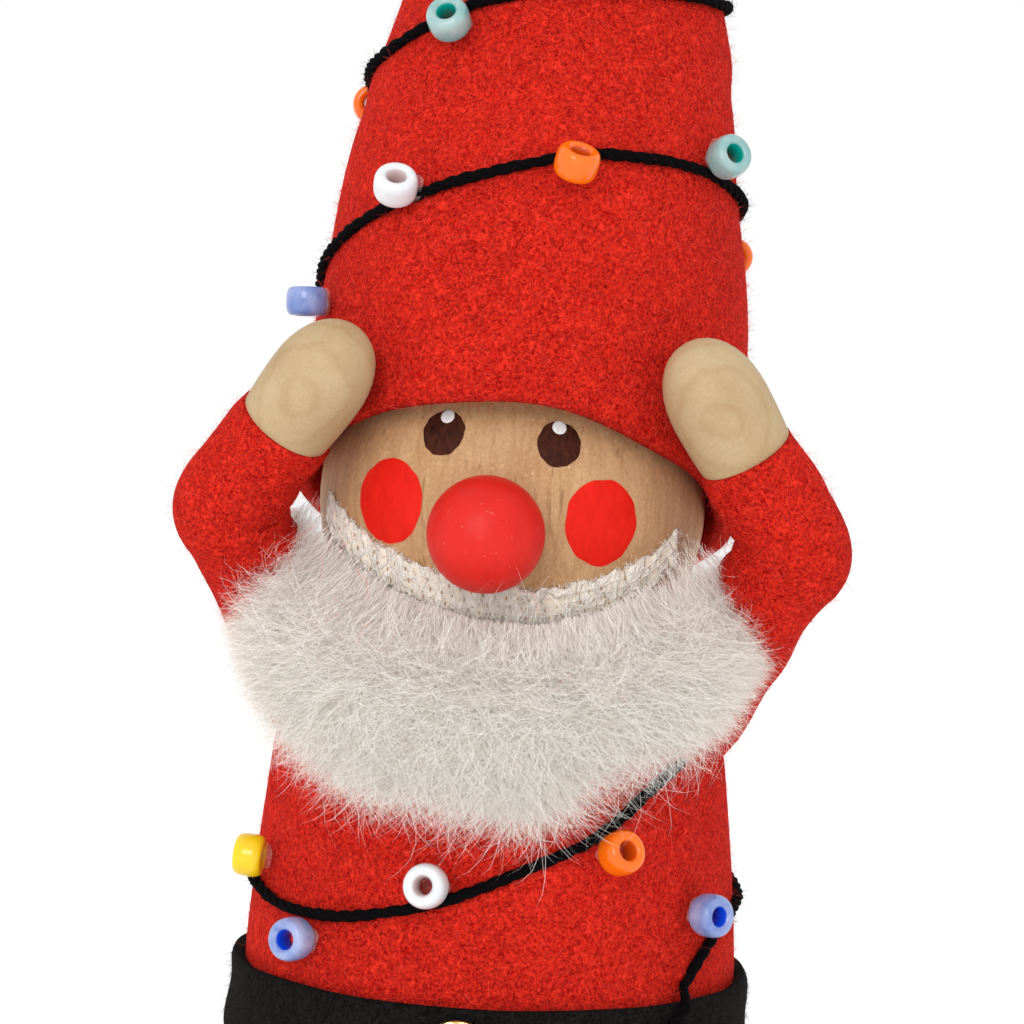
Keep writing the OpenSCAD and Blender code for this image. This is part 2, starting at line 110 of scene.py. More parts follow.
class Value:
    """A shader socket that can be reckoned with: each operator adds a Math node."""

    def __init__(self, finish, socket):
        self.finish = finish
        self.socket = socket

    def math(self, operation, *others, clamp=False):
        node = self.finish.tree.nodes.new("ShaderNodeMath")
        node.operation = operation
        node.use_clamp = clamp
        for place, item in enumerate((self,) + others):
            self.finish.put(node.inputs[place], item)
        return Value(self.finish, node.outputs[0])

    def __add__(self, other):
        return self.math("ADD", other)

    __radd__ = __add__

    def __mul__(self, other):
        return self.math("MULTIPLY", other)

    __rmul__ = __mul__

    def __sub__(self, other):
        return self.math("SUBTRACT", other)

    def __rsub__(self, other):
        return (self * -1) + other

    def __truediv__(self, other):
        return self.math("DIVIDE", other)

    def __pow__(self, other):
        return self.math("POWER", other)

    def __abs__(self):
        return self.math("ABSOLUTE")

    def clamp(self):
        return self.math("ADD", 0.0, clamp=True)

    def most(self, other):
        return self.math("MAXIMUM", other)


class Finish:
    """One material: a Principled shader and the pattern nodes that feed it."""

    def __init__(self, name, colour, roughness=0.5, **constants):
        self.material = bpy.data.materials.new(name)
        self.material.use_nodes = True
        self.material.diffuse_color = (*colour, 1)
        self.tree = self.material.node_tree
        self.shader = self.tree.nodes["Principled BSDF"]
        self.shader.inputs["Base Color"].default_value = (*colour, 1)
        self.shader.inputs["Roughness"].default_value = roughness
        for key, value in constants.items():
            self.shader.inputs[key.replace("_", " ")].default_value = value
        self.places = None

    def put(self, socket, item):
        if isinstance(item, Value):
            self.tree.links.new(item.socket, socket)
        elif isinstance(item, bpy.types.NodeSocket):
            self.tree.links.new(item, socket)
        else:
            socket.default_value = item

    def node(self, kind, settings=None, out=0, **inputs):
        """Any node: its settings first, then what goes into its sockets."""
        node = self.tree.nodes.new(kind)
        for key, value in (settings or {}).items():
            setattr(node, key, value)
        for key, value in inputs.items():
            socket = node.inputs[int(key[1:])] if key[0] == "i" and key[1:].isdigit() else node.inputs[key]
            self.put(socket, value)
        return node.outputs[out]

    def at(self, stretch=(1, 1, 1), turn=(0, 0, 0), place=(0, 0, 0)):
        """Object coordinates, moved, turned and stretched."""
        if self.places is None:
            self.places = self.node("ShaderNodeTexCoord", out="Object")
        return self.node("ShaderNodeMapping", Vector=self.places, Location=place, Rotation=turn,
                         Scale=stretch)

    def noise(self, vector, scale, detail=2.0, rough=0.5, warp=0.0):
        return Value(self, self.node("ShaderNodeTexNoise", Vector=vector, Scale=scale, Detail=detail,
                                     Roughness=rough, Distortion=warp))

    def cells(self, vector, scale):
        return Value(self, self.node("ShaderNodeTexVoronoi", Vector=vector, Scale=scale))

    def blend(self, amount, a, b):
        """A colour between a and b."""
        a, b = ((*c, 1) if isinstance(c, tuple) else c for c in (a, b))
        node = self.tree.nodes.new("ShaderNodeMix")
        node.data_type = "RGBA"
        self.put(node.inputs[0], amount)
        self.put(node.inputs[6], a)
        self.put(node.inputs[7], b)
        return node.outputs[2]

    def lines(self, vector, scale, thin, warp=1.0, detail=2.0):
        """Fine hairs: 1 along the curves where a noise is half, falling to 0 beside them."""
        return (1 - abs(self.noise(vector, scale, detail, warp=warp) - 0.5) * thin).clamp()

    def colour(self, item):
        self.put(self.shader.inputs["Base Color"], item)

    def rough(self, item):
        self.put(self.shader.inputs["Roughness"], item)

    def bump(self, height, depth, strength=1.0):
        self.put(self.shader.inputs["Normal"],
                 self.node("ShaderNodeBump", Height=height, Distance=depth, Strength=strength))


def felt(name, dark, mid, light, sheen):
    """Matted wool: crossing hairs painted lighter (partly paler loose fibres, partly painted highlight),
    small pits painted darker as painted shade, and soft patches.
    """
    f = Finish(name, mid, 1.0, Sheen_Weight=sheen, Sheen_Roughness=0.4, Sheen_Tint=(*light, 1),
               Specular_IOR_Level=0.06)
    base = f.at()
    hairs = f.lines(base, 640, 13, warp=1.8)
    hairs = hairs.most(f.lines(f.at(turn=(1, 2, 0.5)), 1300, 8, warp=1.3) * 0.85)
    hairs = hairs.most(f.lines(f.at(turn=(2, 0.4, 1.5)), 2100, 7, warp=1.0) * 0.7)
    pits = f.noise(base, 3600, 3, 0.65)
    patches = f.noise(base, 70, 2)
    # painted shade: the pits pull the colour towards dark, over random soft patches
    shade = ((pits - 0.5) * 3.6 + 0.5 + (patches - 0.5) * 0.6).clamp()
    ground = f.blend(shade, dark, mid)
    # the crossing hairs pull it towards light: partly paler fibres, partly painted highlight
    f.colour(f.blend(hairs * (0.4 + shade * 0.5), ground, light))
    f.bump(hairs * 0.8 + pits * 0.8 + patches * 0.5, 0.22 * MM, 0.9)
    return f.material


def red_felt():
    return felt("red_felt", (0.22, 0.001, 0.001), (0.6, 0.005, 0.003), (0.92, 0.045, 0.024), 0.05)


def black_felt():
    return felt("black_felt", (0.001, 0.001, 0.001), (0.005, 0.004, 0.004), (0.022, 0.018, 0.017), 0.0)


def plain(name, colour, roughness=0.8, **constants):
    return Finish(name, colour, roughness, **constants).material


def wood(name, pale, dark, grain_scale, speckle):
    """Bare turned wood: upright growth lines, short pores and a fine sanded speckle."""
    f = Finish(name, pale, 0.55, Specular_IOR_Level=0.15)
    drift = f.noise(f.at(stretch=(1, 1, 0.2)), 210, 3, 0.55, 0.4)
    streak = f.noise(f.at(stretch=(1, 1, 0.06)), grain_scale, 3, 0.6, 0.2)
    gold = ((f.noise(f.at(), 2300, 1) - 0.68) * 12).clamp()
    pores = (f.noise(f.at(stretch=(1, 1, 0.09)), 2600, 2, 0.5) - 0.62) * 7
    flecks = f.noise(f.at(), 3200, 2, 0.6)
    line = (1 - abs(streak - 0.5) * 13).clamp()
    tone = ((drift - 0.5) * 0.9 + 0.36 + line * 0.3 + (flecks - 0.5) * speckle).clamp()
    tan = f.blend(tone, pale, dark)
    tan = f.blend(gold * 0.4, tan, tuple(min(c * 1.5, 1) for c in pale))
    f.colour(f.blend(pores.clamp() * 0.55, tan, tuple(c * 0.45 for c in dark)))
    f.rough(0.42 + flecks * 0.25)
    f.bump(flecks * 0.5 + streak * 0.3 - pores.clamp() * 0.5, 0.06 * MM, 0.6)
    return f.material


def hand_wood(name, place):
    """Hardwood turned across its rings, which show as arcs round a heart at the side."""
    f = Finish(name, (0.72, 0.54, 0.32), 0.5, Specular_IOR_Level=0.15)
    heart = f.at(place=tuple(-c for c in place))
    away = f.node("ShaderNodeVectorMath", {"operation": "LENGTH"}, i0=heart, out="Value")
    wobble = f.noise(f.at(), 260, 3, 0.5, 0.6)
    rings = (Value(f, away) * 2300 + wobble * 5).math("SINE") * 0.5 + 0.5
    flecks = f.noise(f.at(), 3000, 2, 0.6)
    patch = f.noise(f.at(), 210, 2)
    tone = ((rings ** 5) * 0.22 + (patch - 0.45) * 1.1 + (flecks - 0.5) * 0.55 + 0.2).clamp()
    f.colour(f.blend(tone, (0.5, 0.375, 0.215), (0.36, 0.22, 0.095)))
    f.rough(0.4 + flecks * 0.25)
    f.bump(flecks * 0.5 + rings * 0.2, 0.05 * MM, 0.5)
    return f.material


def red_lacquer():
    """Thin red lacquer that shows the wood's grain and a few dust specks."""
    f = Finish("red_lacquer", (0.6, 0.01, 0.006), 0.42, Coat_Weight=0.15, Coat_Roughness=0.42,
               Specular_IOR_Level=0.22)
    grain = f.noise(f.at(stretch=(1, 1, 0.2)), 900, 3, 0.6)
    dust = ((f.noise(f.at(), 2400, 2) - 0.68) * 9).clamp()
    f.colour(f.blend(dust * 0.4, f.blend(grain, (0.56, 0.006, 0.003), (0.7, 0.012, 0.006)), (0.9, 0.25, 0.2)))
    f.rough(0.4 + grain * 0.16)
    f.bump(grain + dust * 0.4, 0.04 * MM, 0.6)
    return f.material


def paint(name, dark, light, roughness, scale):
    """Brushed paint over wood grain."""
    f = Finish(name, light, roughness, Specular_IOR_Level=0.12)
    strokes = f.noise(f.at(stretch=(1, 1, 0.45)), scale, 4, 0.65, 0.5)
    f.colour(f.blend(((strokes - 0.5) * 2 + 0.5).clamp(), dark, light))
    f.rough(roughness - 0.08 + strokes * 0.2)
    f.bump(strokes, 0.05 * MM, 0.7)
    return f.material


def wool(name, shade, light):
    """The matted ground under the beard's fibres and its backing."""
    f = Finish(name, light, 0.9, Sheen_Weight=0.2)
    tangle = f.lines(f.at(stretch=(1, 1, 0.4)), 800, 9, warp=1.2)
    cloud = f.noise(f.at(), 320, 3)
    f.colour(f.blend((tangle * 0.6 + cloud * 0.5).clamp(), shade, light))
    f.bump(tangle + cloud, 0.3 * MM, 0.8)
    return f.material


def glass_bead(name, colour, painted_sheen, lustre):
    """Opaque glass, some with a pearl lustre: paler patches that drift from hue to hue are painted into the
    colour as a painted sheen.
    """
    f = Finish(name, colour, 0.16, Coat_Weight=0.3, Coat_Roughness=0.05, Specular_IOR_Level=0.3)
    drift = f.noise(f.at(), 420, 2, 0.5, 0.5)
    # painted sheen: noise blends the colour towards the paler painted_sheen colour
    f.colour(f.blend(((drift - 0.5) * 2.4 * lustre + 0.35).clamp(), colour, painted_sheen))
    f.rough(0.1 + drift * 0.12)
    f.bump(f.noise(f.at(), 700, 1), 0.08 * MM, 0.35)
    return f.material


def hammered_brass():
    f = Finish("brass", (0.72, 0.5, 0.16), 0.25, Metallic=1.0)
    dents = f.cells(f.at(), 900)
    tarnish = f.noise(f.at(), 500, 3, 0.6)
    f.colour(f.blend(tarnish, (0.85, 0.64, 0.26), (0.5, 0.33, 0.1)))
    f.rough(0.2 + tarnish * 0.25)
    f.bump(dents, 0.25 * MM, 0.8)
    return f.material


def clear_glue():
    return plain("clear_glue", (0.9, 0.6, 0.58), 0.06, Alpha=0.12, Coat_Weight=0.6)


# ---------------------------------------------------------------- shaping helpers


def smooth_outline(outline, passes):
    """The outline as heights and radii in metres, its corners eased."""
    heights = np.linspace(outline[0][0], outline[-1][0], 401)
    radii = np.interp(heights, *zip(*outline))
    for _ in range(passes):
        radii[1:-1] = (radii[:-2] + 2 * radii[1:-1] + radii[2:]) / 4
    return heights * MM, radii * MM


HAT_H, HAT_RR = smooth_outline(HAT_OUTLINE, 220)
COAT_H, COAT_RR = smooth_outline(COAT_OUTLINE, 40)
lumps = np.random.default_rng(7)
HAT_LUMPS = [(int(lumps.integers(1, 6)), float(lumps.uniform(60, 330)), float(lumps.uniform(0, 6.28)),
              float(lumps.uniform(0.04, 0.13)) * MM) for _ in range(9)]
COAT_LUMPS = [(int(lumps.integers(1, 7)), float(lumps.uniform(30, 200)), float(lumps.uniform(0, 6.28)),
               float(lumps.uniform(0.03, 0.1)) * MM) for _ in range(8)]


def lumpy(table, a, h):
    return sum(amp * np.sin(k * a + w * h * (1 if i % 2 else -1) + ph)
               for i, (k, w, ph, amp) in enumerate(table))


def soft_bump(x, middle, width):
    return np.exp(-((x - middle) / width) ** 2)


def turned_away(a, at):
    """Angle between a and at, wrapped to half a turn."""
    return (a - at + math.pi) % (2 * math.pi) - math.pi


def lean(points):
    """From the hat's own upright frame to the leaning head's."""
    c, s = math.cos(LEAN), math.sin(LEAN)
    x, y, z = points[..., 0], points[..., 1], points[..., 2]
    return np.stack([c * x + s * z, y, -s * x + c * z], -1) + HEAD_AT


def hat_point(a, u, out=0.0):
    """A point of the hat's outside at angle a from the front and height u above the head's centre."""
    a, u = np.broadcast_arrays(np.asarray(a, float), np.asarray(u, float))
    r = np.interp(u, HAT_H, HAT_RR)
    fade = np.clip(r / (8 * MM), 0, 1)
    swell = lumpy(HAT_LUMPS, a, u) * fade
    # two soft creases across the front and one behind, where the tall cone has slumped
    for at, up, wide, depth in ((-0.45, 37.0, 0.8, 0.6), (-0.25, 33.4, 0.6, 0.4), (0.75, 35.5, 0.6, 0.3),
                                (2.6, 42.0, 1.0, 0.6), (0.9, 62.0, 1.0, 0.5), (-1.9, 56.0, 0.9, 0.6)):
        across = turned_away(a, at)
        line = up * MM + 2.6 * MM * np.sin(across * 1.8)
        reach = soft_bump(across, 0, wide)
        swell = swell - depth * MM * soft_bump(u, line, 1.7 * MM) * reach * fade
        swell = swell + 0.6 * depth * MM * soft_bump(u, line + 3 * MM, 2 * MM) * reach * fade
    # the hands press the felt in
    for at in (0.83, -0.72):
        swell = swell - 0.35 * MM * soft_bump(turned_away(a, at), 0, 0.25) * soft_bump(u, 9.5 * MM, 6 * MM)
    # seam down the back
    swell = swell - 0.3 * MM * soft_bump(turned_away(a, math.pi), 0, 0.035) * fade
    rr = r + swell + out
    return lean(np.stack([rr * np.sin(a), -rr * np.cos(a), u], -1))


def brim_at(a):
    """Height of the slanted brim at angle a."""
    wave = 0.25 * MM * np.sin(3 * a + 1) + 0.15 * MM * np.sin(7 * a)
    return BRIM_FRONT - BRIM_DROP * 20.7 * MM * (1 - np.cos(a)) + wave


def coat_point(a, z, out=0.0):
    a, z = np.broadcast_arrays(np.asarray(a, float), np.asarray(z, float))
    r = np.interp(z, COAT_H, COAT_RR)
    swell = lumpy(COAT_LUMPS, a, z)
    # folds that run down from the shoulders
    for at, wide, depth, top in ((-1.08, 0.06, 0.45, 58), (1.12, 0.07, 0.35, 57), (2.3, 0.1, 0.4, 55),
                                 (-2.2, 0.1, 0.4, 55)):
        reach = soft_bump(z, top * MM, 9 * MM)
        swell = swell - depth * MM * soft_bump(turned_away(a, at), 0, wide) * reach
        swell = swell + 0.6 * depth * MM * soft_bump(turned_away(a, at - 0.14), 0, wide) * reach
    # the belt nips the felt in, and the seam runs down the back
    swell = swell - 0.25 * MM * soft_bump(z, (BELT_LOW + BELT_HIGH) / 2, 3 * MM)
    swell = swell - 0.25 * MM * soft_bump(turned_away(a, math.pi), 0, 0.03)
    rr = r + swell + out
    return np.stack([rr * np.sin(a), -rr * np.cos(a), z], -1)


def over_belt(z):
    """How far the belt lifts what lies over the coat at height z."""
    edge = 1.2 * MM
    return BELT_T * np.clip((z - BELT_LOW) / edge + 0.8, 0, 1) * np.clip((BELT_HIGH - z) / edge + 0.8, 0, 1)


def mesh_object(name, verts, faces, materials):
    mesh = bpy.data.meshes.new(name)
    mesh.from_pydata([tuple(v) for v in verts], [], faces)
    return finished(name, mesh, materials)


def finished(name, mesh, materials, which=None):
    for material in materials:
        mesh.materials.append(material)
    if which is not None:
        mesh.polygons.foreach_set("material_index", which)
    mesh.polygons.foreach_set("use_smooth", [True] * len(mesh.polygons))
    mesh.update()
    piece = bpy.data.objects.new(name, mesh)
    bpy.context.collection.objects.link(piece)
    return piece


def from_bmesh(name, bm, materials):
    mesh = bpy.data.meshes.new(name)
    bm.to_mesh(mesh)
    bm.free()
    return finished(name, mesh, materials)


def face_front(bm):
    """Turns an open sheet's faces so that their outside is towards the front."""
    bmesh.ops.recalc_face_normals(bm, faces=bm.faces)
    if sum(f.normal.y for f in bm.faces) > 0:
        bmesh.ops.reverse_faces(bm, faces=bm.faces)


def unit(vectors):
    return vectors / np.linalg.norm(vectors, axis=1)[:, None]


def wrapped_shell(name, point, low, high, around, up, thickness, material):
    """A felt shell: a grid wrapped round, its rows shaped by point, then given its thickness."""
    bm = bmesh.new()
    bmesh.ops.create_grid(bm, x_segments=around, y_segments=up, size=0.5)
    bm.verts.ensure_lookup_table()
    grid = np.array([v.co[:] for v in bm.verts])
    a = grid[:, 0] * 2 * math.pi + math.pi
    t = grid[:, 1] + 0.5
    base = low(a) if callable(low) else low
    places = point(a, base + (high - base) * t)
    for v, p in zip(bm.verts, places):
        v.co = p
    bmesh.ops.remove_doubles(bm, verts=bm.verts, dist=0.02 * MM)
    bmesh.ops.recalc_face_normals(bm, faces=bm.faces)
    middle = sum((f.calc_center_median() for f in bm.faces), Vector()) / len(bm.faces)
    face = max(bm.faces, key=lambda f: (f.calc_center_median() - middle).xy.length)
    if face.normal.xy.dot((face.calc_center_median() - middle).xy) < 0:
        bmesh.ops.reverse_faces(bm, faces=bm.faces)
    bmesh.ops.solidify(bm, geom=bm.faces, thickness=thickness)
    return from_bmesh(name, bm, [material])


def felt_tube(name, point, length, around, rows, thickness, material):
    """A felt tube with an inside and an outside: the profile runs up the outside and back down the inside."""
    up = np.linspace(0, length, rows)
    along = np.concatenate([up, up[::-1]])
    out = np.concatenate([np.zeros(rows), np.full(rows, -thickness)])
    a = np.linspace(0, 2 * math.pi, around, endpoint=False)
    verts = point(a[None, :], along[:, None], out[:, None]).reshape(-1, 3)
    n = 2 * rows
    i = (np.arange(n) * around)[:, None]
    j = ((np.arange(n) + 1) % n * around)[:, None]
    k = np.arange(around)
    m = (k + 1) % around
    faces = np.stack([i + k, j + k, j + m, i + m], -1).reshape(-1, 4).tolist()
    bm = bmesh.new()
    bm.from_mesh(mesh_object(name + "_blank", verts, faces, []).data)
    bpy.data.objects.remove(bpy.data.objects[name + "_blank"])
    bmesh.ops.recalc_face_normals(bm, faces=bm.faces)
    return from_bmesh(name, bm, [material])


def sweep(path, radius, sides):
    """Vertices and faces of a closed round tube along a path; radius may change along it."""
    path = np.asarray(path)
    n = len(path)
    tangent = unit(np.gradient(path, axis=0))
    side = np.zeros_like(path)
    ref = np.cross(tangent[0], (0, 0, 1) if abs(tangent[0][2]) < 0.9 else (1, 0, 0))
    for i in range(n):
        ref = ref - tangent[i] * ref.dot(tangent[i])
        ref /= np.linalg.norm(ref)
        side[i] = ref
    up = np.cross(tangent, side)
    w = np.linspace(0, 2 * math.pi, sides, endpoint=False)
    radius = np.broadcast_to(radius, (n,))
    rings = path[:, None] + radius[:, None, None] * (np.cos(w)[None, :, None] * side[:, None]
                                                     + np.sin(w)[None, :, None] * up[:, None])
    verts = rings.reshape(-1, 3)
    k = np.arange(sides)
    m = (k + 1) % sides
    i = (np.arange(n - 1) * sides)[:, None]
    quads = np.stack([i + k, i + m, i + sides + m, i + sides + k], -1).reshape(-1, 4)
    ends = [list(range(sides - 1, -1, -1)), [(n - 1) * sides + j for j in range(sides)]]
    return verts, quads.tolist() + ends


def joined(parts):
    verts, faces, offset = [], [], 0
    for v, f in parts:
        verts.append(v)
        faces += [[j + offset for j in face] for face in f]
        offset += len(v)
    return np.concatenate(verts), faces


def fibres(name, roots, headings, lengths, materials, rng, width, segments=5, curl=0.35, drag=None):
    """Short hairs: each a narrow tapering ribbon that wanders from its root along its heading."""
    n = len(roots)
    step = (lengths / segments)[:, None]
    heading = unit(headings)
    bend = rng.normal(0, curl, (n, 3))
    rows = [roots]
    for s in range(segments):
        bend = 0.6 * bend + rng.normal(0, curl * 0.7, (n, 3))
        heading = heading + bend
        if drag is not None:
            heading = heading + drag(rows[-1], s / segments)
        heading = unit(heading)
        rows.append(rows[-1] + heading * step)
    path = np.stack(rows, 1)
    tangent = path[:, -1] - path[:, 0]
    side = np.cross(tangent, rng.normal(0, 1, (n, 3)))
    side /= np.linalg.norm(side, axis=1)[:, None] + 1e-12
    taper = np.linspace(1, 0.45, segments + 1)[None, :, None] * width / 2
    left = path - side[:, None] * taper
    right = path + side[:, None] * taper
    verts = np.concatenate([left[:, :-1], right[:, :-1], path[:, -1:]], 1)
    per = 2 * segments + 1
    base = (np.arange(n) * per)[:, None]
    j = np.arange(segments - 1)
    quads = np.stack([base + j, base + j + 1, base + segments + j + 1, base + segments + j], -1)
    quads = quads.reshape(-1, 4)
    tips = np.concatenate([base + segments - 1, base + 2 * segments, base + 2 * segments - 1], 1)
    mesh = bpy.data.meshes.new(name)
    mesh.vertices.add(n * per)
    mesh.vertices.foreach_set("co", verts.reshape(-1))
    corners = np.concatenate([quads.reshape(-1), tips.reshape(-1)])
    starts = np.concatenate([np.arange(len(quads)) * 4, len(quads) * 4 + np.arange(n) * 3])
    mesh.loops.add(len(corners))
    mesh.loops.foreach_set("vertex_index", corners.astype(np.int32))
    mesh.polygons.add(len(starts))
    mesh.polygons.foreach_set("loop_start", starts.astype(np.int32))
    kind = rng.integers(0, len(materials), n)
    which = np.concatenate([np.repeat(kind, segments - 1), kind])
    mesh.update(calc_edges=True)
    mesh.validate()
    return finished(name, mesh, materials, which.astype(np.int32))


def nap(name, point, a, h, materials, rng, length, width, lift=0.16):
    """Loose hairs over a felt surface: most lie along it, some stand off."""
    roots = point(a, h, -0.05 * MM)
    out = point(a, h, 1 * MM) - roots
    around = point(a + 0.01, h) - point(a - 0.01, h)
    up = point(a, h + 0.1 * MM) - point(a, h - 0.1 * MM)
    out, around, up = (v / (np.linalg.norm(v, axis=1)[:, None] + 1e-12) for v in (out, around, up))
    turn = rng.uniform(0, 2 * math.pi, len(a))[:, None]
    rise = np.abs(rng.normal(0, lift, len(a)))[:, None] * (rng.uniform(0, 1, len(a)) < 0.6)[:, None]
    heading = np.cos(turn) * around + np.sin(turn) * up + rise * out
    lengths = length * rng.uniform(0.5, 1.3, len(a))
    return fibres(name, roots, heading, lengths, materials, rng, width, 4, 0.34,
                  drag=lambda p, t: -0.1 * out)


# ---------------------------------------------------------------- pieces


def ride(piece, body, slot, *replaced):
    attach(piece, body)
    if replaced:
        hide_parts(*replaced)
    return piece


def hat(material):
    piece = wrapped_shell("hat_felt", hat_point, brim_at, HAT_TOP, 210, 110, FELT, material)
    ride(piece, "figure", "red_felt", "hat")


def coat(material):
    piece = wrapped_shell("coat_felt", coat_point, HEM, 64.4 * MM, 210, 80, FELT, material)
    ride(piece, "figure", "red_felt", "coat")


def belt(material):
    """The belt; returns the shape of its outside."""
    def point(a, z, out=0.0):
        fuzz = 0.12 * MM * np.sin(5 * a + 900 * z) + 0.1 * MM * np.sin(11 * a)
        from_middle = (z - (BELT_LOW + BELT_HIGH) / 2) / ((BELT_HIGH - BELT_LOW) / 2)
        round_edge = 0.35 * MM * (np.abs(from_middle) ** 8)
        return coat_point(a, z + 0.12 * MM * np.sin(2 * a + 1), out + BELT_T + fuzz - round_edge)
    piece = wrapped_shell("belt_felt", point, BELT_LOW, BELT_HIGH, 240, 18, 1.15 * MM, material)
    ride(piece, "figure", "black_felt", "belt")
    return point


def yarn(name, point, route, material, node):
    """Three plies twisted together, laid along the route on the felt; returns its line and the way out."""
    degrees = np.arange(route[0][0], route[-1][0], 0.9)
    heights = np.interp(degrees, *zip(*route))
    for _ in range(60):
        heights[1:-1] = (heights[:-2] + 2 * heights[1:-1] + heights[2:]) / 4
    a = np.radians(degrees)
    out = CORD_D * 0.42 + (over_belt(heights * MM) if node == "coat_cord" else 0)
    middle = point(a, heights * MM, out)
    wander = np.concatenate([[0], np.cumsum(np.linalg.norm(np.diff(middle, axis=0), axis=1))])
    tangent = unit(np.gradient(middle, axis=0))
    outward = unit(point(a, heights * MM, out + MM) - middle)
    across = np.cross(tangent, outward)
    plies = []
    for k in range(3):
        w = wander / (4.6 * MM) * 2 * math.pi + k * 2 * math.pi / 3 + 0.5 * np.sin(wander / (3.1 * MM))
        thick = CORD_D * (0.27 + 0.03 * np.sin(wander / (1.3 * MM) + 2 * k)
                          + 0.02 * np.sin(wander / (0.7 * MM)))
        offset = CORD_D * (0.2 + 0.03 * np.sin(wander / (2.3 * MM) + k))[:, None]
        path = middle + offset * (np.cos(w)[:, None] * outward + np.sin(w)[:, None] * across)
        plies.append(sweep(path, thick, 7))
    verts, faces = joined(plies)
    ride(mesh_object(name, verts, faces, [material]), "figure", "black_yarn", node)
    return middle, outward


def yarn_fuzz(name, middle, outward, material, rng, count):
    pick = rng.integers(0, len(middle), count)
    heading = rng.normal(0, 1, (count, 3)) + 0.4 * outward[pick]
    roots = middle[pick] + 0.35 * CORD_D * heading / np.linalg.norm(heading, axis=1)[:, None]
    lengths = rng.uniform(0.4, 1.2, count) * MM
    piece = fibres(name, roots, heading, lengths, [material], rng, 0.03 * MM, 4, 0.4)
    ride(piece, "figure", "black_yarn")


def all_round(count, rng):
    """Random angles about the figure."""
    return rng.uniform(-math.pi, math.pi, count)


def hat_nap(count, materials, rng):
    for half in (1, 2):
        a = all_round(count, rng)
        share = 1 - np.sqrt(rng.uniform(0.0, 1, count))
        low = brim_at(a)
        hairs = nap(f"hat_nap_{half}", hat_point, a, low + share * (HAT_TOP - low), materials, rng,
                    1.5 * MM, 0.028 * MM)
        ride(hairs, "figure", "red_felt")


def brim_nap(count, materials, rng):
    a = all_round(count, rng)
    hairs = nap("brim_nap", hat_point, a, brim_at(a) + 0.1 * MM, materials, rng, 0.9 * MM, 0.025 * MM, 0.4)
    ride(hairs, "figure", "red_felt")


def coat_nap(count, materials, rng):
    for half in (1, 2):
        a = all_round(count, rng)
        h = rng.uniform(HEM, 62 * MM, count)
        hairs = nap(f"coat_nap_{half}", coat_point, a, h, materials, rng, 1.5 * MM, 0.028 * MM)
        ride(hairs, "figure", "red_felt")


def belt_nap(count, point, material, rng):
    a = all_round(count, rng)
    h = rng.uniform(BELT_LOW, BELT_HIGH, count)
    hairs = nap("belt_nap", point, a, h, [material], rng, 1.1 * MM, 0.03 * MM, 0.35)
    ride(hairs, "figure", "black_felt")


def sleeve_nap(arm, count, materials, rng):
    a = all_round(count, rng)
    s = rng.uniform(0.5 * MM, arm.length, count)
    arm.attach(nap(f"sleeve_nap_{arm.side}", arm.point, a, s, materials, rng, 1.4 * MM, 0.022 * MM))


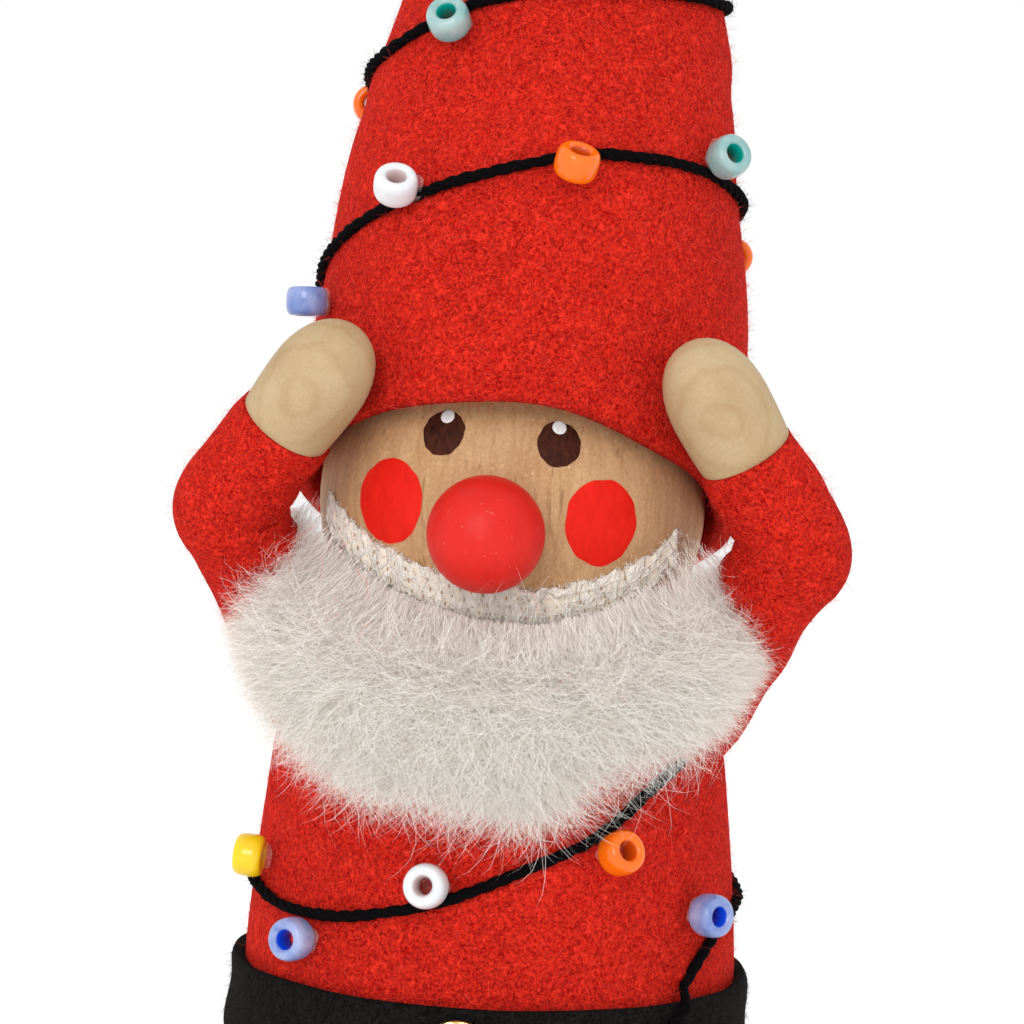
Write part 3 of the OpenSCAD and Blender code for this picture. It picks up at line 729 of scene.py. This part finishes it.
class Sleeve:
    """A bent felt tube: its middle line from the shoulder round the elbow to the wrist."""

    def __init__(self, side):
        self.side = side
        self.shoulder = JOINTS[f"shoulder_{side}"]
        self.elbow = JOINTS[f"elbow_{side}"]
        reach = np.array(HANDS[side]) * MM - self.elbow
        self.wrist_far = float(np.linalg.norm(reach)) - HAND_BASE
        self.fore = reach / np.linalg.norm(reach)
        upper = self.elbow - self.shoulder
        self.upper_far = float(np.linalg.norm(upper))
        self.upper = upper / self.upper_far
        ease = 2.4 * MM
        marks = 22
        self.path = np.concatenate([
            [self.shoulder - self.upper * 1.0 * MM + self.upper * s
             for s in np.linspace(0, self.upper_far - ease + MM, marks)],
            [self.round_corner(t, ease) for t in np.linspace(0, 1, marks)[1:-1]],
            [self.elbow + self.fore * s for s in np.linspace(ease, self.wrist_far, marks)]])
        steps = np.linalg.norm(np.diff(self.path, axis=0), axis=1)
        self.travelled = np.concatenate([[0], np.cumsum(steps)])
        self.length = self.travelled[-1]
        self.tangent = unit(np.gradient(self.path, axis=0))
        plane = np.cross(self.upper, self.fore)
        self.plane = plane / np.linalg.norm(plane)

    def round_corner(self, t, ease):
        a = self.elbow - self.upper * ease
        b = self.elbow + self.fore * ease
        return (1 - t) ** 2 * a + 2 * t * (1 - t) * self.elbow + t ** 2 * b

    def frame_at(self, s):
        """The middle line at s, the elbow's outward direction there and the one across it."""
        middle = np.stack([np.interp(s, self.travelled, self.path[:, k]) for k in range(3)], -1)
        tangent = np.stack([np.interp(s, self.travelled, self.tangent[:, k]) for k in range(3)], -1)
        tangent /= np.linalg.norm(tangent, axis=-1, keepdims=True)
        outer = np.cross(tangent, self.plane)
        outer /= np.linalg.norm(outer, axis=-1, keepdims=True)
        return middle, outer, np.cross(tangent, outer)

    def point(self, a, s, out=0.0):
        """A point of the sleeve's outside: a is measured from the elbow's outer side."""
        a, s = np.broadcast_arrays(np.asarray(a, float), np.asarray(s, float))
        middle, outer, across = self.frame_at(s)
        bend = self.upper_far + 0.2 * MM
        r = np.interp(s, [0, 3 * MM, bend, self.length], [4.6 * MM, 4.95 * MM, 4.72 * MM, 4.55 * MM])
        inner = (1 - np.cos(a)) / 2
        # creases fan out on the inside of the elbow, and the outside bulges a little
        for off, depth in ((0.0, 0.55), (3.0, 0.3), (-3.2, 0.34), (6.4, 0.16)):
            r = r - depth * MM * soft_bump(s, bend + off * MM * (0.5 + 0.5 * inner), 0.85 * MM) * inner ** 1.5
        r = r + 0.9 * MM * soft_bump(s, bend, 2.0 * MM) * (1 - inner) ** 2
        r = r + 0.09 * MM * np.sin(3 * a + 700 * s) + 0.07 * MM * np.sin(2 * a - 900 * s + 1)
        # the open end is nipped to the wrist of the wooden hand
        r = r - 0.2 * MM * soft_bump(s, self.length, 1.2 * MM)
        rr = (r + out)[..., None]
        return middle + rr * (np.cos(a)[..., None] * outer + np.sin(a)[..., None] * across)

    def attach(self, piece, *replaced):
        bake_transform(piece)
        if replaced:
            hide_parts(*replaced)


def sleeve(arm, material):
    piece = felt_tube(f"sleeve_{arm.side}", arm.point, arm.length, 96, 120, 0.9 * MM, material)
    arm.attach(piece, f"sleeve_upper_{arm.side}", f"sleeve_fore_{arm.side}")


# -- the beard

BEARD_AXIS_Y = 5.4 * MM
BARREL_H = np.array([40, 46, 56, 62, 66, 71, 76, 81]) * MM
BARREL_R = np.array([26.0, 27.2, 29.0, 29.8, 29.4, 27.1, 24.9, 23.5]) * MM
TOP_EDGE = [(-16.6, 80.5), (-15, 77.4), (-11.1, 74.4), (-6.3, 72.3), (-0.9, 71), (4.3, 70.7), (9.3, 72),
            (13.5, 74.1), (15.8, 76.6), (17.2, 80)]
LOW_EDGE = [(-25.5, 67.5), (-23.6, 64.3), (-21.3, 61.1), (-17.9, 58.1), (-15.3, 55.8), (-11.5, 53.6),
            (-6.1, 52.4), (-2.6, 53), (0.8, 52.6), (3.3, 50.9), (5.8, 51), (7.8, 53), (10.6, 56),
            (13.8, 57.6), (17.1, 57), (20.4, 59), (22.8, 61.6), (24.3, 64.4), (25.2, 67.7)]


def top_edge(x):
    return np.interp(x / MM, *zip(*TOP_EDGE)) * MM


def low_edge(x):
    """Lower end of the beard; past its sides it jumps above everything."""
    z = np.interp(x / MM, *zip(*LOW_EDGE)) * MM
    return np.where((x < -25.5 * MM) | (x > 25.2 * MM), 1, z)


def beard_front(x, z, out=0.0):
    r = np.interp(z, BARREL_H, BARREL_R) + out
    return np.stack([x, BEARD_AXIS_Y - np.sqrt(np.maximum(r ** 2 - x ** 2, (8 * MM) ** 2)), z], -1)


def beard_pad(material):
    """The pad under the fibres: a curved sheet shaped between the beard's edges, then thickened."""
    bm = bmesh.new()
    bmesh.ops.create_grid(bm, x_segments=60, y_segments=36, size=0.5)
    for v in bm.verts:
        u = v.co.x * 2
        t = v.co.y + 0.5
        x_top, x_low = u * 13.4 * MM, u * 20.4 * MM
        z_top = float(top_edge(x_top)) - 2.4 * MM
        z_low = float(low_edge(x_low)) + 3.2 * MM
        bulge = math.sin(t * math.pi) * 1.8 * MM * u
        x = x_low + (x_top - x_low) * t + bulge
        z = z_low + (z_top - z_low) * t
        edge = 1.3 * MM * max(abs(u), abs(2 * t - 1)) ** 6 + 2.6 * MM * max(0, t - 0.6) ** 1.5 / 0.25
        v.co = beard_front(x, z, -1.5 * MM - edge + 0.2 * MM * math.sin(x * 900) * math.cos(z * 700))
    face_front(bm)
    bmesh.ops.solidify(bm, geom=bm.faces, thickness=1.6 * MM)
    piece = from_bmesh("beard_pad", bm, [material])
    ride(piece, "figure", "white_wool", "beard")


def clear_of_sleeves(p, arms):
    """How a hair near a sleeve is turned aside to lie over it."""
    push = np.zeros_like(p)
    for arm in arms:
        for start, end, r in ((arm.shoulder, arm.elbow, 5.1 * MM),
                              (arm.elbow, arm.path[-1], 4.9 * MM)):
            along = end - start
            t = np.clip((p - start) @ along / along.dot(along), 0, 1)
            off = p - (start + t[:, None] * along)
            far = np.linalg.norm(off, axis=1)[:, None]
            push += off / far * np.clip((r + 0.5 * MM - far) / (0.8 * MM), 0, 1.5)
    return push


def beard_fibres(materials, rng, arms):
    """Combed wool in several layers, each a piece of its own: it fans out and ends in ragged tips."""
    for layer in range(6):
        n = 8800
        u = rng.uniform(-1, 1, n)
        t = np.maximum(rng.uniform(0, 1, n) ** 1.1, rng.uniform(0, 0.3, n) * np.abs(u) ** 8)
        x_top, x_low = u * 16.3 * MM, u * 24.2 * MM
        z_top = top_edge(x_top) - (0.7 + 1.5 * (1 - u ** 4)) * MM
        z_low = low_edge(x_low) + 2.5 * MM
        x = x_top + (x_low - x_top) * t + np.sin(t * math.pi) * 3.0 * MM * u
        z = z_top + (z_low - z_top) * t
        clumps = 120
        locks = rng.choice(n, clumps, replace=False)
        phase, turns = rng.uniform(0, 6.28, clumps), rng.uniform(4, 9, clumps)
        near = np.argmin((x[:, None] - x[locks]) ** 2 + 0.2 * (z[:, None] - z[locks]) ** 2, axis=1)
        proud = rng.uniform(-1.2, 0.5, clumps)[near]
        sunk = 3.4 * np.clip(1 - t / 0.32, 0, 1) ** 1.5 * (1 - 0.75 * u ** 2)
        depth = (rng.uniform(-1.3, 0.2, n) + proud - sunk) * MM
        roots = beard_front(x, z, depth)
        # locks: hairs near each other lean the same way
        lock = np.sin(x * 1500 + 1.3 * np.sin(z * 500)) * 0.2 + np.sin(x * 640 + layer * 0.7) * 0.16
        loose = np.clip(t * 4 + 1.6 * np.abs(u) ** 8, 0.25, 1.5)
        fan = np.arctan2(x, 94 * MM - z) * 1.15 + lock * 0.7 + rng.normal(0, 0.3, n) * loose
        # the shortest hairs, at the two upper corners, hang straight down
        corner = np.abs(u) ** 5 * np.clip(1 - t / 0.45, 0, 1)
        fan *= 1 - 0.8 * corner
        down = np.stack([np.sin(fan), np.zeros(n), -np.cos(fan)], -1)
        ahead = beard_front(x + down[:, 0] * MM, z + down[:, 2] * MM, depth) - roots
        # a hair ends about where the combed edge is
        reach = np.full(n, 14.0) * MM
        side = np.clip((np.abs(x) - 15 * MM) / (9 * MM), 0, 1)
        for step in np.arange(13.5, 0, -0.5) * MM:
            out = z + down[:, 2] * step < low_edge(x + down[:, 0] * step)
            reach = np.where(out, step, reach)
        straggle = np.abs(rng.normal(0, 1.7, n)) * MM * (rng.uniform(0, 1, n) < 0.4)
        longest = rng.uniform(6, 15, n) * MM
        lengths = np.minimum(longest, reach + rng.uniform(-2.2, 0.5, n) * MM + straggle * (1 - side))
        lengths *= (1 - 0.35 * side) * (1 - 0.75 * corner)
        lengths = np.maximum(lengths, 1.5 * MM) * 1.06
        # locks draw together towards their tips
        tip_x = x + down[:, 0] * lengths
        tip_z = z + down[:, 2] * lengths
        sway = np.stack([tip_x[locks][near] - tip_x, np.zeros(n), tip_z[locks][near] - tip_z], -1)
        sway *= (0.34 * (1 - np.abs(u) ** 6) / np.maximum(np.linalg.norm(sway, axis=1), 1.2 * MM))[:, None]

        def wave(share):
            w = 0.17 * np.cos(phase[near] + turns[near] * share)
            return np.stack([w * np.cos(fan), 0.4 * w, w * np.sin(fan)], -1)

        def hug(p, share):
            r = np.interp(p[:, 2], BARREL_H, BARREL_R) + (0.4 + 1.3 * share) * MM
            rad = np.stack([p[:, 0], p[:, 1] - BEARD_AXIS_Y], -1)
            far = np.linalg.norm(rad, axis=1)
            pull = np.clip((r - far) / (2.5 * MM), -0.55, 0.25)[:, None]
            inward = np.concatenate([rad / far[:, None] * pull, np.zeros((len(p), 1))], 1)
            aside = inward + 0.6 * clear_of_sleeves(p, arms)
            return aside + sway * (0.3 + 1.2 * share) + wave(share) - (0, 0, 0.08)

        piece = fibres(f"beard_wool_{layer + 1}", roots, ahead, lengths, materials, rng, 0.032 * MM, 7, 0.15,
                       drag=hug)
        ride(piece, "figure", "white_wool")


def stray_hairs(materials, rng):
    """A few long red hairs shed from the felt on to the beard."""
    n = 34
    x = np.concatenate([rng.uniform(-21, -8, 24), rng.uniform(-8, 20, 10)]) * MM
    z = rng.uniform(60, 76, n) * MM
    roots = beard_front(x, z, 0.9 * MM)
    heading = rng.normal(0, 1, (n, 3)) * (1, 0.15, 1)
    lengths = rng.uniform(3, 7, n) * MM
    piece = fibres("stray_hairs", roots, heading, lengths, materials, rng, 0.03 * MM, 14, 0.3)
    ride(piece, "figure", "red_felt")


def band_fringe(materials, rng):
    """Frayed wool that stands up from the band's edge over the wood."""
    n = 1500
    x = rng.uniform(-15.6, 15.9, n) * MM
    roots = band_point(x, rng.uniform(0, 0.5, n) * MM, rng.uniform(0.2, 0.5, n) * MM)
    out = unit(roots - HEAD_AT)
    heading = np.stack([rng.normal(0, 0.7, n), np.zeros(n), np.full(n, 0.9)], -1) + 0.25 * out
    lengths = rng.uniform(0.2, 0.8, n) * MM
    piece = fibres("band_fringe", roots, heading, lengths, materials, rng, 0.045 * MM, 5, 0.4,
                   drag=lambda p, share: -0.15 * out)
    ride(piece, "figure", "white_wool")
    n = 1500
    x = rng.uniform(-15.6, 15.9, n) * MM
    drop = rng.uniform(0.3, 2.9, n) * MM
    roots = band_point(x, drop, 0.36 * MM + 0.3 * drop)
    heading = np.stack([rng.normal(0.6, 0.8, n), -np.full(n, 0.2), rng.normal(-0.3, 0.8, n)], -1)
    piece = fibres("band_fuzz", roots, heading, rng.uniform(0.6, 1.8, n) * MM, materials, rng, 0.035 * MM,
                   5, 0.4)
    ride(piece, "figure", "white_wool")


def band_point(x, drop, out=0.0):
    """A point of the backing strip on the head, drop below its upper edge."""
    z = top_edge(x) + 0.5 * MM - drop
    r = HEAD_R + out
    y = -np.sqrt(np.maximum(r ** 2 - x ** 2 - (z - HEAD_AT[2]) ** 2, 0))
    return np.stack([x, y, z], -1)


def beard_band(material):
    bm = bmesh.new()
    bmesh.ops.create_grid(bm, x_segments=120, y_segments=8, size=0.5)
    for v in bm.verts:
        x = v.co.x * 2 * 15.8 * MM
        rag = 0.18 * MM * math.sin(x * 2300) + 0.14 * MM * math.sin(x * 5100 + 1)
        drop = (0.5 - v.co.y) * 3.0 * MM + (rag if v.co.y > 0.4 else 0)
        v.co = band_point(np.array(x), drop, 0.32 * MM + 0.3 * drop + 0.08 * MM * math.sin(x * 3700))
    face_front(bm)
    bmesh.ops.solidify(bm, geom=bm.faces, thickness=0.25 * MM)
    piece = from_bmesh("beard_backing", bm, [material])
    ride(piece, "figure", "wool_backing", "beard_band")


def band_stitches(thread, hole):
    """A machine stitch along the band: thread bars between small dark needle holes."""
    bars, holes = [], []
    for row, drop in ((0, 0.7 * MM), (1, 1.5 * MM), (2, 2.3 * MM)):
        for x in np.arange(-14.6, 14.7, 1.0) * MM + row * 0.35 * MM:
            ends = band_point(np.array([x + 0.16 * MM, x + 0.84 * MM]), drop, 0.4 * MM + 0.3 * drop)
            mid = band_point(np.array([x + 0.5 * MM]), drop, 0.46 * MM + 0.3 * drop)[0]
            path = np.array([ends[0], 0.5 * (ends[0] + mid) + (mid - ends[0]) * 0.15, mid,
                             0.5 * (ends[1] + mid) + (mid - ends[1]) * 0.15, ends[1]])
            bars.append(sweep(path, np.array([0.02, 0.05, 0.06, 0.05, 0.02]) * MM, 6))
            at = band_point(np.array([x]), drop, 0.36 * MM + 0.3 * drop)[0]
            tall = band_point(np.array([x]), drop + 0.42 * MM, 0.36 * MM + 0.3 * drop)[0]
            path = np.array([at, (at + tall) / 2 - np.array([0, 0.05 * MM, 0]), tall])
            holes.append(sweep(path, np.array([0.03, 0.075, 0.03]) * MM, 6))
    ride(mesh_object("band_stitches", *joined(bars), [thread]), "figure", "wool_backing")
    ride(mesh_object("band_needle_holes", *joined(holes), [hole]), "figure", "wool_backing")


# -- the face


def paint_spot(name, side, up, wide, tall, lift, material, node, rng, slot):
    """A brushed spot: a disc with a slightly uneven rim, laid on the head's curve."""
    bm = bmesh.new()
    rings, around = 10, 72
    bmesh.ops.create_circle(bm, cap_ends=True, cap_tris=False, segments=around, radius=1)
    outline = bm.faces[:]
    for _ in range(rings - 1):
        bmesh.ops.inset_region(bm, faces=outline, thickness=1 / rings, use_boundary=True,
                               use_even_offset=True)
    wobble = [(k, rng.uniform(0, 6.28), rng.uniform(0.004, 0.014)) for k in (2, 3, 5, 9, 14)]
    for v in bm.verts:
        w = math.atan2(v.co.y, v.co.x)
        r = v.co.xy.length * (1 + sum(amp * math.sin(k * w + ph) for k, ph, amp in wobble))
        x, z = r * math.cos(w) * wide / 2, r * math.sin(w) * tall / 2
        dome = lift + 0.07 * MM * math.sqrt(max(1 - v.co.xy.length ** 3, 0))
        # polar angles keep the spot round on the ball
        far = math.hypot(x, z) / HEAD_R
        turn = math.atan2(z, x)
        p = np.array([math.sin(far) * math.cos(turn), -math.cos(far), math.sin(far) * math.sin(turn)])
        cu, su = math.cos(up), math.sin(up)
        p = np.array([p[0], cu * p[1] + su * p[2], -su * p[1] + cu * p[2]])
        cs, ss = math.cos(side), math.sin(side)
        p = np.array([cs * p[0] - ss * p[1], ss * p[0] + cs * p[1], p[2]])
        v.co = lean(p * (HEAD_R + dome))
    bmesh.ops.recalc_face_normals(bm, faces=bm.faces)
    middle = Vector(HEAD_AT)
    face = bm.faces[:][0]
    if face.normal.dot(face.calc_center_median() - middle) < 0:
        bmesh.ops.reverse_faces(bm, faces=bm.faces)
    piece = from_bmesh(name, bm, [material])
    return ride(piece, "figure", slot, *([node] if node else []))


def face(brown, white, red, rng):
    """Eyes, their glints and the cheeks: angles on the head, then widths and heights."""
    eye_side, eye_up = math.radians(17), math.radians(16.8)
    cheek_side, cheek_up = math.radians(31.5), math.radians(-3.7)
    glint_up = eye_up + math.radians(4.7)
    for sign, side, glint_off, glints in ((1, "left", -0.002, "eye_glints"), (-1, "right", 0.004, None)):
        paint_spot(f"eye_paint_{side}", sign * eye_side, eye_up, 3.85 * MM, 4.15 * MM, 0.03 * MM,
                   brown, f"eye_{side}", rng, "brown_paint")
        paint_spot(f"glint_paint_{side}", sign * eye_side + glint_off, glint_up, 1.25 * MM, 1.25 * MM,
                   0.09 * MM, white, glints, rng, "white_paint")
        paint_spot(f"cheek_paint_{side}", sign * cheek_side, cheek_up, 7.0 * MM, 7.6 * MM, 0.03 * MM,
                   red, f"cheek_{side}", rng, "red_paint")


# -- beads and glue


def bead_materials():
    """For each colour, the outside of the bead and the lining of its hole."""
    def pair(name, colour, painted_sheen, lustre, lining):
        return [glass_bead(name, colour, painted_sheen, lustre), plain(name + "_lining", lining, 0.3)]
    # per colour: the outside, its paler painted sheen, how much of that sheen, and the hole's lining
    return {
        "teal": pair("teal_glass", (0.17, 0.37, 0.37), (0.42, 0.54, 0.52), 1, (0.0, 0.3, 0.24)),
        "blue": pair("blue_glass", (0.14, 0.22, 0.52), (0.42, 0.46, 0.7), 1, (0.003, 0.06, 0.62)),
        "white": pair("white_glass", (0.74, 0.74, 0.75), (0.62, 0.66, 0.7), 0.7, (0.62, 0.5, 0.48)),
        "orange": pair("orange_glass", (0.88, 0.13, 0.002), (0.92, 0.2, 0.006), 0.3, (0.6, 0.07, 0.001)),
        "yellow": pair("yellow_glass", (0.86, 0.58, 0.005), (0.9, 0.66, 0.02), 0.3, (0.7, 0.4, 0.004))}


def bead(name, colour, materials, rng):
    """A rounded glass ring in the frame bead's place; its own hole shows the lining's colour."""
    spots = np.array([v.co for v in NODES[name].data.vertices])
    at = (spots.min(0) + spots.max(0)) / 2
    sizes, ways = np.linalg.eigh(np.cov((spots - spots.mean(0)).T))
    odd = 0 if sizes[1] - sizes[0] > sizes[2] - sizes[1] else 2
    axis = Vector(ways[:, odd])
    bm = bmesh.new()
    outer, hole, half = 1.88 * MM, 0.68 * MM, 1.28 * MM
    middle, deep = (outer + hole) / 2, (outer - hole) / 2
    corners = 28
    profile = []
    for w in np.linspace(0, 2 * math.pi, corners, endpoint=False):
        c, d = math.cos(w), math.sin(w)
        profile.append(bm.verts.new((middle + deep * math.copysign(abs(c) ** 0.8, c), 0,
                                     half * math.copysign(abs(d) ** 0.72, d))))
    ring = [bm.edges.new((profile[i], profile[(i + 1) % corners])) for i in range(corners)]
    bmesh.ops.spin(bm, geom=profile + ring, cent=(0, 0, 0), axis=(0, 0, 1), angle=2 * math.pi,
                   steps=40, use_merge=True, use_duplicate=False)
    bmesh.ops.remove_doubles(bm, verts=bm.verts, dist=0.001 * MM)
    bmesh.ops.recalc_face_normals(bm, faces=bm.faces)
    for f in bm.faces:
        f.material_index = 1 if f.calc_center_median().xy.length < hole + 0.22 * MM else 0
    squash = rng.uniform(-0.02, 0.02) + 1
    bm.transform(Matrix.Translation(at) @ axis.to_track_quat("Z", "Y").to_matrix().to_4x4()
                 @ Matrix.Diagonal((squash, 2 - squash, 1, 1)))
    mesh = bpy.data.meshes.new(name + "_glass")
    bm.to_mesh(mesh)
    bm.free()
    which = [p.material_index for p in mesh.polygons]
    piece = finished(name + "_glass", mesh, materials, which)
    return ride(piece, "figure", colour + "_glass", name)


def glue_dabs(material, rng):
    """A small clear pool of glue under each bead."""
    bm = bmesh.new()
    for name in sorted(NODES):
        if "_bead_" not in name:
            continue
        low, high = span(name)
        at = (low + high) / 2
        axis_x = HEAD_AT[0] + math.tan(LEAN) * (at[2] - HEAD_AT[2]) if name.startswith("hat") else 0.0
        inward = np.array([axis_x - at[0], -at[1], 0.0])
        inward /= np.linalg.norm(inward)
        made = bmesh.ops.create_icosphere(bm, subdivisions=3, radius=1)["verts"]
        size = np.array([1.5, 0.4, 1.3]) * MM * rng.uniform(0.85, 1.15, 3)
        turn = Matrix.Rotation(math.atan2(inward[1], inward[0]) - math.pi / 2, 4, "Z")
        phase = rng.uniform(0, 6, 3)
        for v in made:
            c = v.co
            wave = 1 + 0.12 * math.sin(4 * c.x + phase[0]) + 0.1 * math.sin(5 * c.z + phase[1])
            v.co = turn @ Vector((c.x * size[0] * wave, c.y * size[1], c.z * size[2] * wave))
            v.co += Vector(at + inward * 1.55 * MM)
    piece = from_bmesh("glue_dabs", bm, [material])
    ride(piece, "figure", "white_glass")


# ---------------------------------------------------------------- the figure


def dress_nodes(table):
    """Gives carried-over frame nodes their materials and smooth shading."""
    for name, material in table.items():
        mesh = NODES[name].data
        mesh.materials.clear()
        mesh.materials.append(material)
        for polygon in mesh.polygons:
            polygon.use_smooth = True


HAT_BEAD_COLOURS = ["blue", "white", "orange", "teal", "orange", "blue", "white", "yellow", "orange", "teal",
                    "white", "yellow", "orange", "blue", "teal"]
COAT_BEAD_COLOURS = ["yellow", "blue", "white", "orange", "blue", "yellow", "orange", "white", "teal",
                     "orange", "white"]

red = red_felt()
black = black_felt()
yarn_black = plain("black_yarn", (0.003, 0.0025, 0.003), 0.95, Specular_IOR_Level=0.05)
red_hairs = [plain(f"red_hair_{i}", c, 0.75) for i, c in
             enumerate(((0.72, 0.016, 0.008), (0.9, 0.07, 0.045), (0.4, 0.002, 0.001)))]
black_hair = plain("black_hair", (0.007, 0.006, 0.006), 0.9, Specular_IOR_Level=0.1)
wool_hairs = [plain(f"wool_hair_{i}", c, 0.6) for i, c in
              enumerate(((0.91, 0.87, 0.81), (0.96, 0.94, 0.9), (0.78, 0.71, 0.63), (0.93, 0.89, 0.83)))]
beech = wood("beech", (0.6, 0.45, 0.27), (0.4, 0.24, 0.11), 700, 0.5)
maple = wood("maple", (0.63, 0.395, 0.21), (0.42, 0.22, 0.095), 620, 1.0)
steel = plain("soft_wire", (0.7, 0.7, 0.71), 0.35, Metallic=1.0)
wadding = wool("wadding", (0.7, 0.68, 0.62), (0.85, 0.83, 0.78))

hat(red)
coat(red)
belt_point = belt(black)
rng = np.random.default_rng(11)

hat_nap(16500, red_hairs, rng)
brim_nap(2200, red_hairs, rng)
coat_nap(11500, red_hairs, rng)
belt_nap(5000, belt_point, black_hair, rng)

arms = [Sleeve("left"), Sleeve("right")]
for arm in arms:
    sleeve(arm, red)
    sleeve_nap(arm, 6500, red_hairs, rng)

for name, point, route, node, count in (("hat_yarn", hat_point, HAT_CORD, "hat_cord", 3500),
                                        ("coat_yarn", coat_point, COAT_CORD, "coat_cord", 2600)):
    middle, outward = yarn(name, point, route, yarn_black, node)
    yarn_fuzz(name + "_fuzz", middle, outward, black_hair, rng, count)

backing = wool("wool_backing", (0.86, 0.76, 0.62), (0.97, 0.94, 0.88))
beard_pad(wool("white_wool", (0.66, 0.6, 0.53), (0.86, 0.82, 0.77)))
beard_fibres(wool_hairs, rng, arms)
beard_band(backing)
band_fringe(wool_hairs, rng)
stray_hairs(red_hairs[:2], rng)
band_stitches(wool_hairs[1], plain("needle_hole", (0.42, 0.24, 0.11), 0.9))

face(paint("brown_paint", (0.02, 0.004, 0.002), (0.085, 0.022, 0.01), 0.62, 1900),
     paint("white_paint", (0.75, 0.75, 0.74), (0.9, 0.9, 0.9), 0.4, 1800),
     paint("red_paint", (0.66, 0.009, 0.004), (0.82, 0.018, 0.009), 0.5, 900), rng)

glass = bead_materials()
for place, colours in (("hat", HAT_BEAD_COLOURS), ("coat", COAT_BEAD_COLOURS)):
    for i, colour in enumerate(colours, 1):
        bead(f"{place}_bead_{i}", colour, glass[colour], rng)
nodes = {n: beech for n in ("body_core", "neck_dowel", "nose_peg", "foot_left", "foot_right", "foot_dowels")}
nodes.update({n: steel for n in NODES if n.startswith("wire_")})
nodes["head"] = maple
nodes["nose"] = red_lacquer()
nodes["hat_filling"] = wadding
nodes["belt_stud"] = hammered_brass()
for side in ("left", "right"):
    low, high = span(f"hand_{side}")
    middle = (low + high) / 2
    heart = (middle[0], low[1] - 1 * MM, middle[2] - 1 * MM)
    nodes[f"hand_{side}"] = hand_wood(f"hand_wood_{side}", heart)
dress_nodes(nodes)
glue_dabs(clear_glue(), rng)

# ---------------------------------------------------------------- floor, light and camera


def stage():
    bm = bmesh.new()
    bmesh.ops.create_grid(bm, x_segments=1, y_segments=1, size=2.5)
    pale = plain("pale_floor", (0.95, 0.95, 0.95), 0.9, Emission_Color=(1, 1, 1, 1),
                 Emission_Strength=0.12, Specular_IOR_Level=0.0)
    from_bmesh("floor", bm, [pale])
    world = bpy.data.worlds.new("studio")
    world.use_nodes = True
    sky = world.node_tree.nodes["Background"].inputs
    sky["Color"].default_value = (1, 1, 1, 1)
    sky["Strength"].default_value = 1.0
    bpy.context.scene.world = world
    bpy.context.scene.view_settings.view_transform = "Standard"


def lamp(name, place, target, size, power):
    data = bpy.data.lights.new(name, "AREA")
    data.size = size
    data.energy = power
    light = bpy.data.objects.new(name, data)
    light.location = place
    light.rotation_euler = (Vector(target) - Vector(place)).to_track_quat("-Z", "Y").to_euler()
    bpy.context.collection.objects.link(light)


def camera():
    data = bpy.data.cameras.new("camera")
    data.sensor_width = 36
    data.lens = 74.9
    data.clip_start = 0.01
    view = bpy.data.objects.new("camera", data)
    turn, roll, far = math.radians(5.3), math.radians(2.9), 0.2
    aim = Vector((0, 0, 77.9 * MM))
    place = aim + Vector((math.sin(turn), -math.cos(turn), 0)) * far
    view.matrix_world = (Matrix.Translation(place) @ Matrix.Rotation(turn, 4, "Z")
                         @ Matrix.Rotation(math.pi / 2, 4, "X") @ Matrix.Rotation(roll, 4, "Z"))
    bpy.context.collection.objects.link(view)
    bpy.context.scene.camera = view


stage()
lamp("key", (-0.1, -0.66, 0.3), (0, 0, 0.08), 0.3, 1.6)
camera()
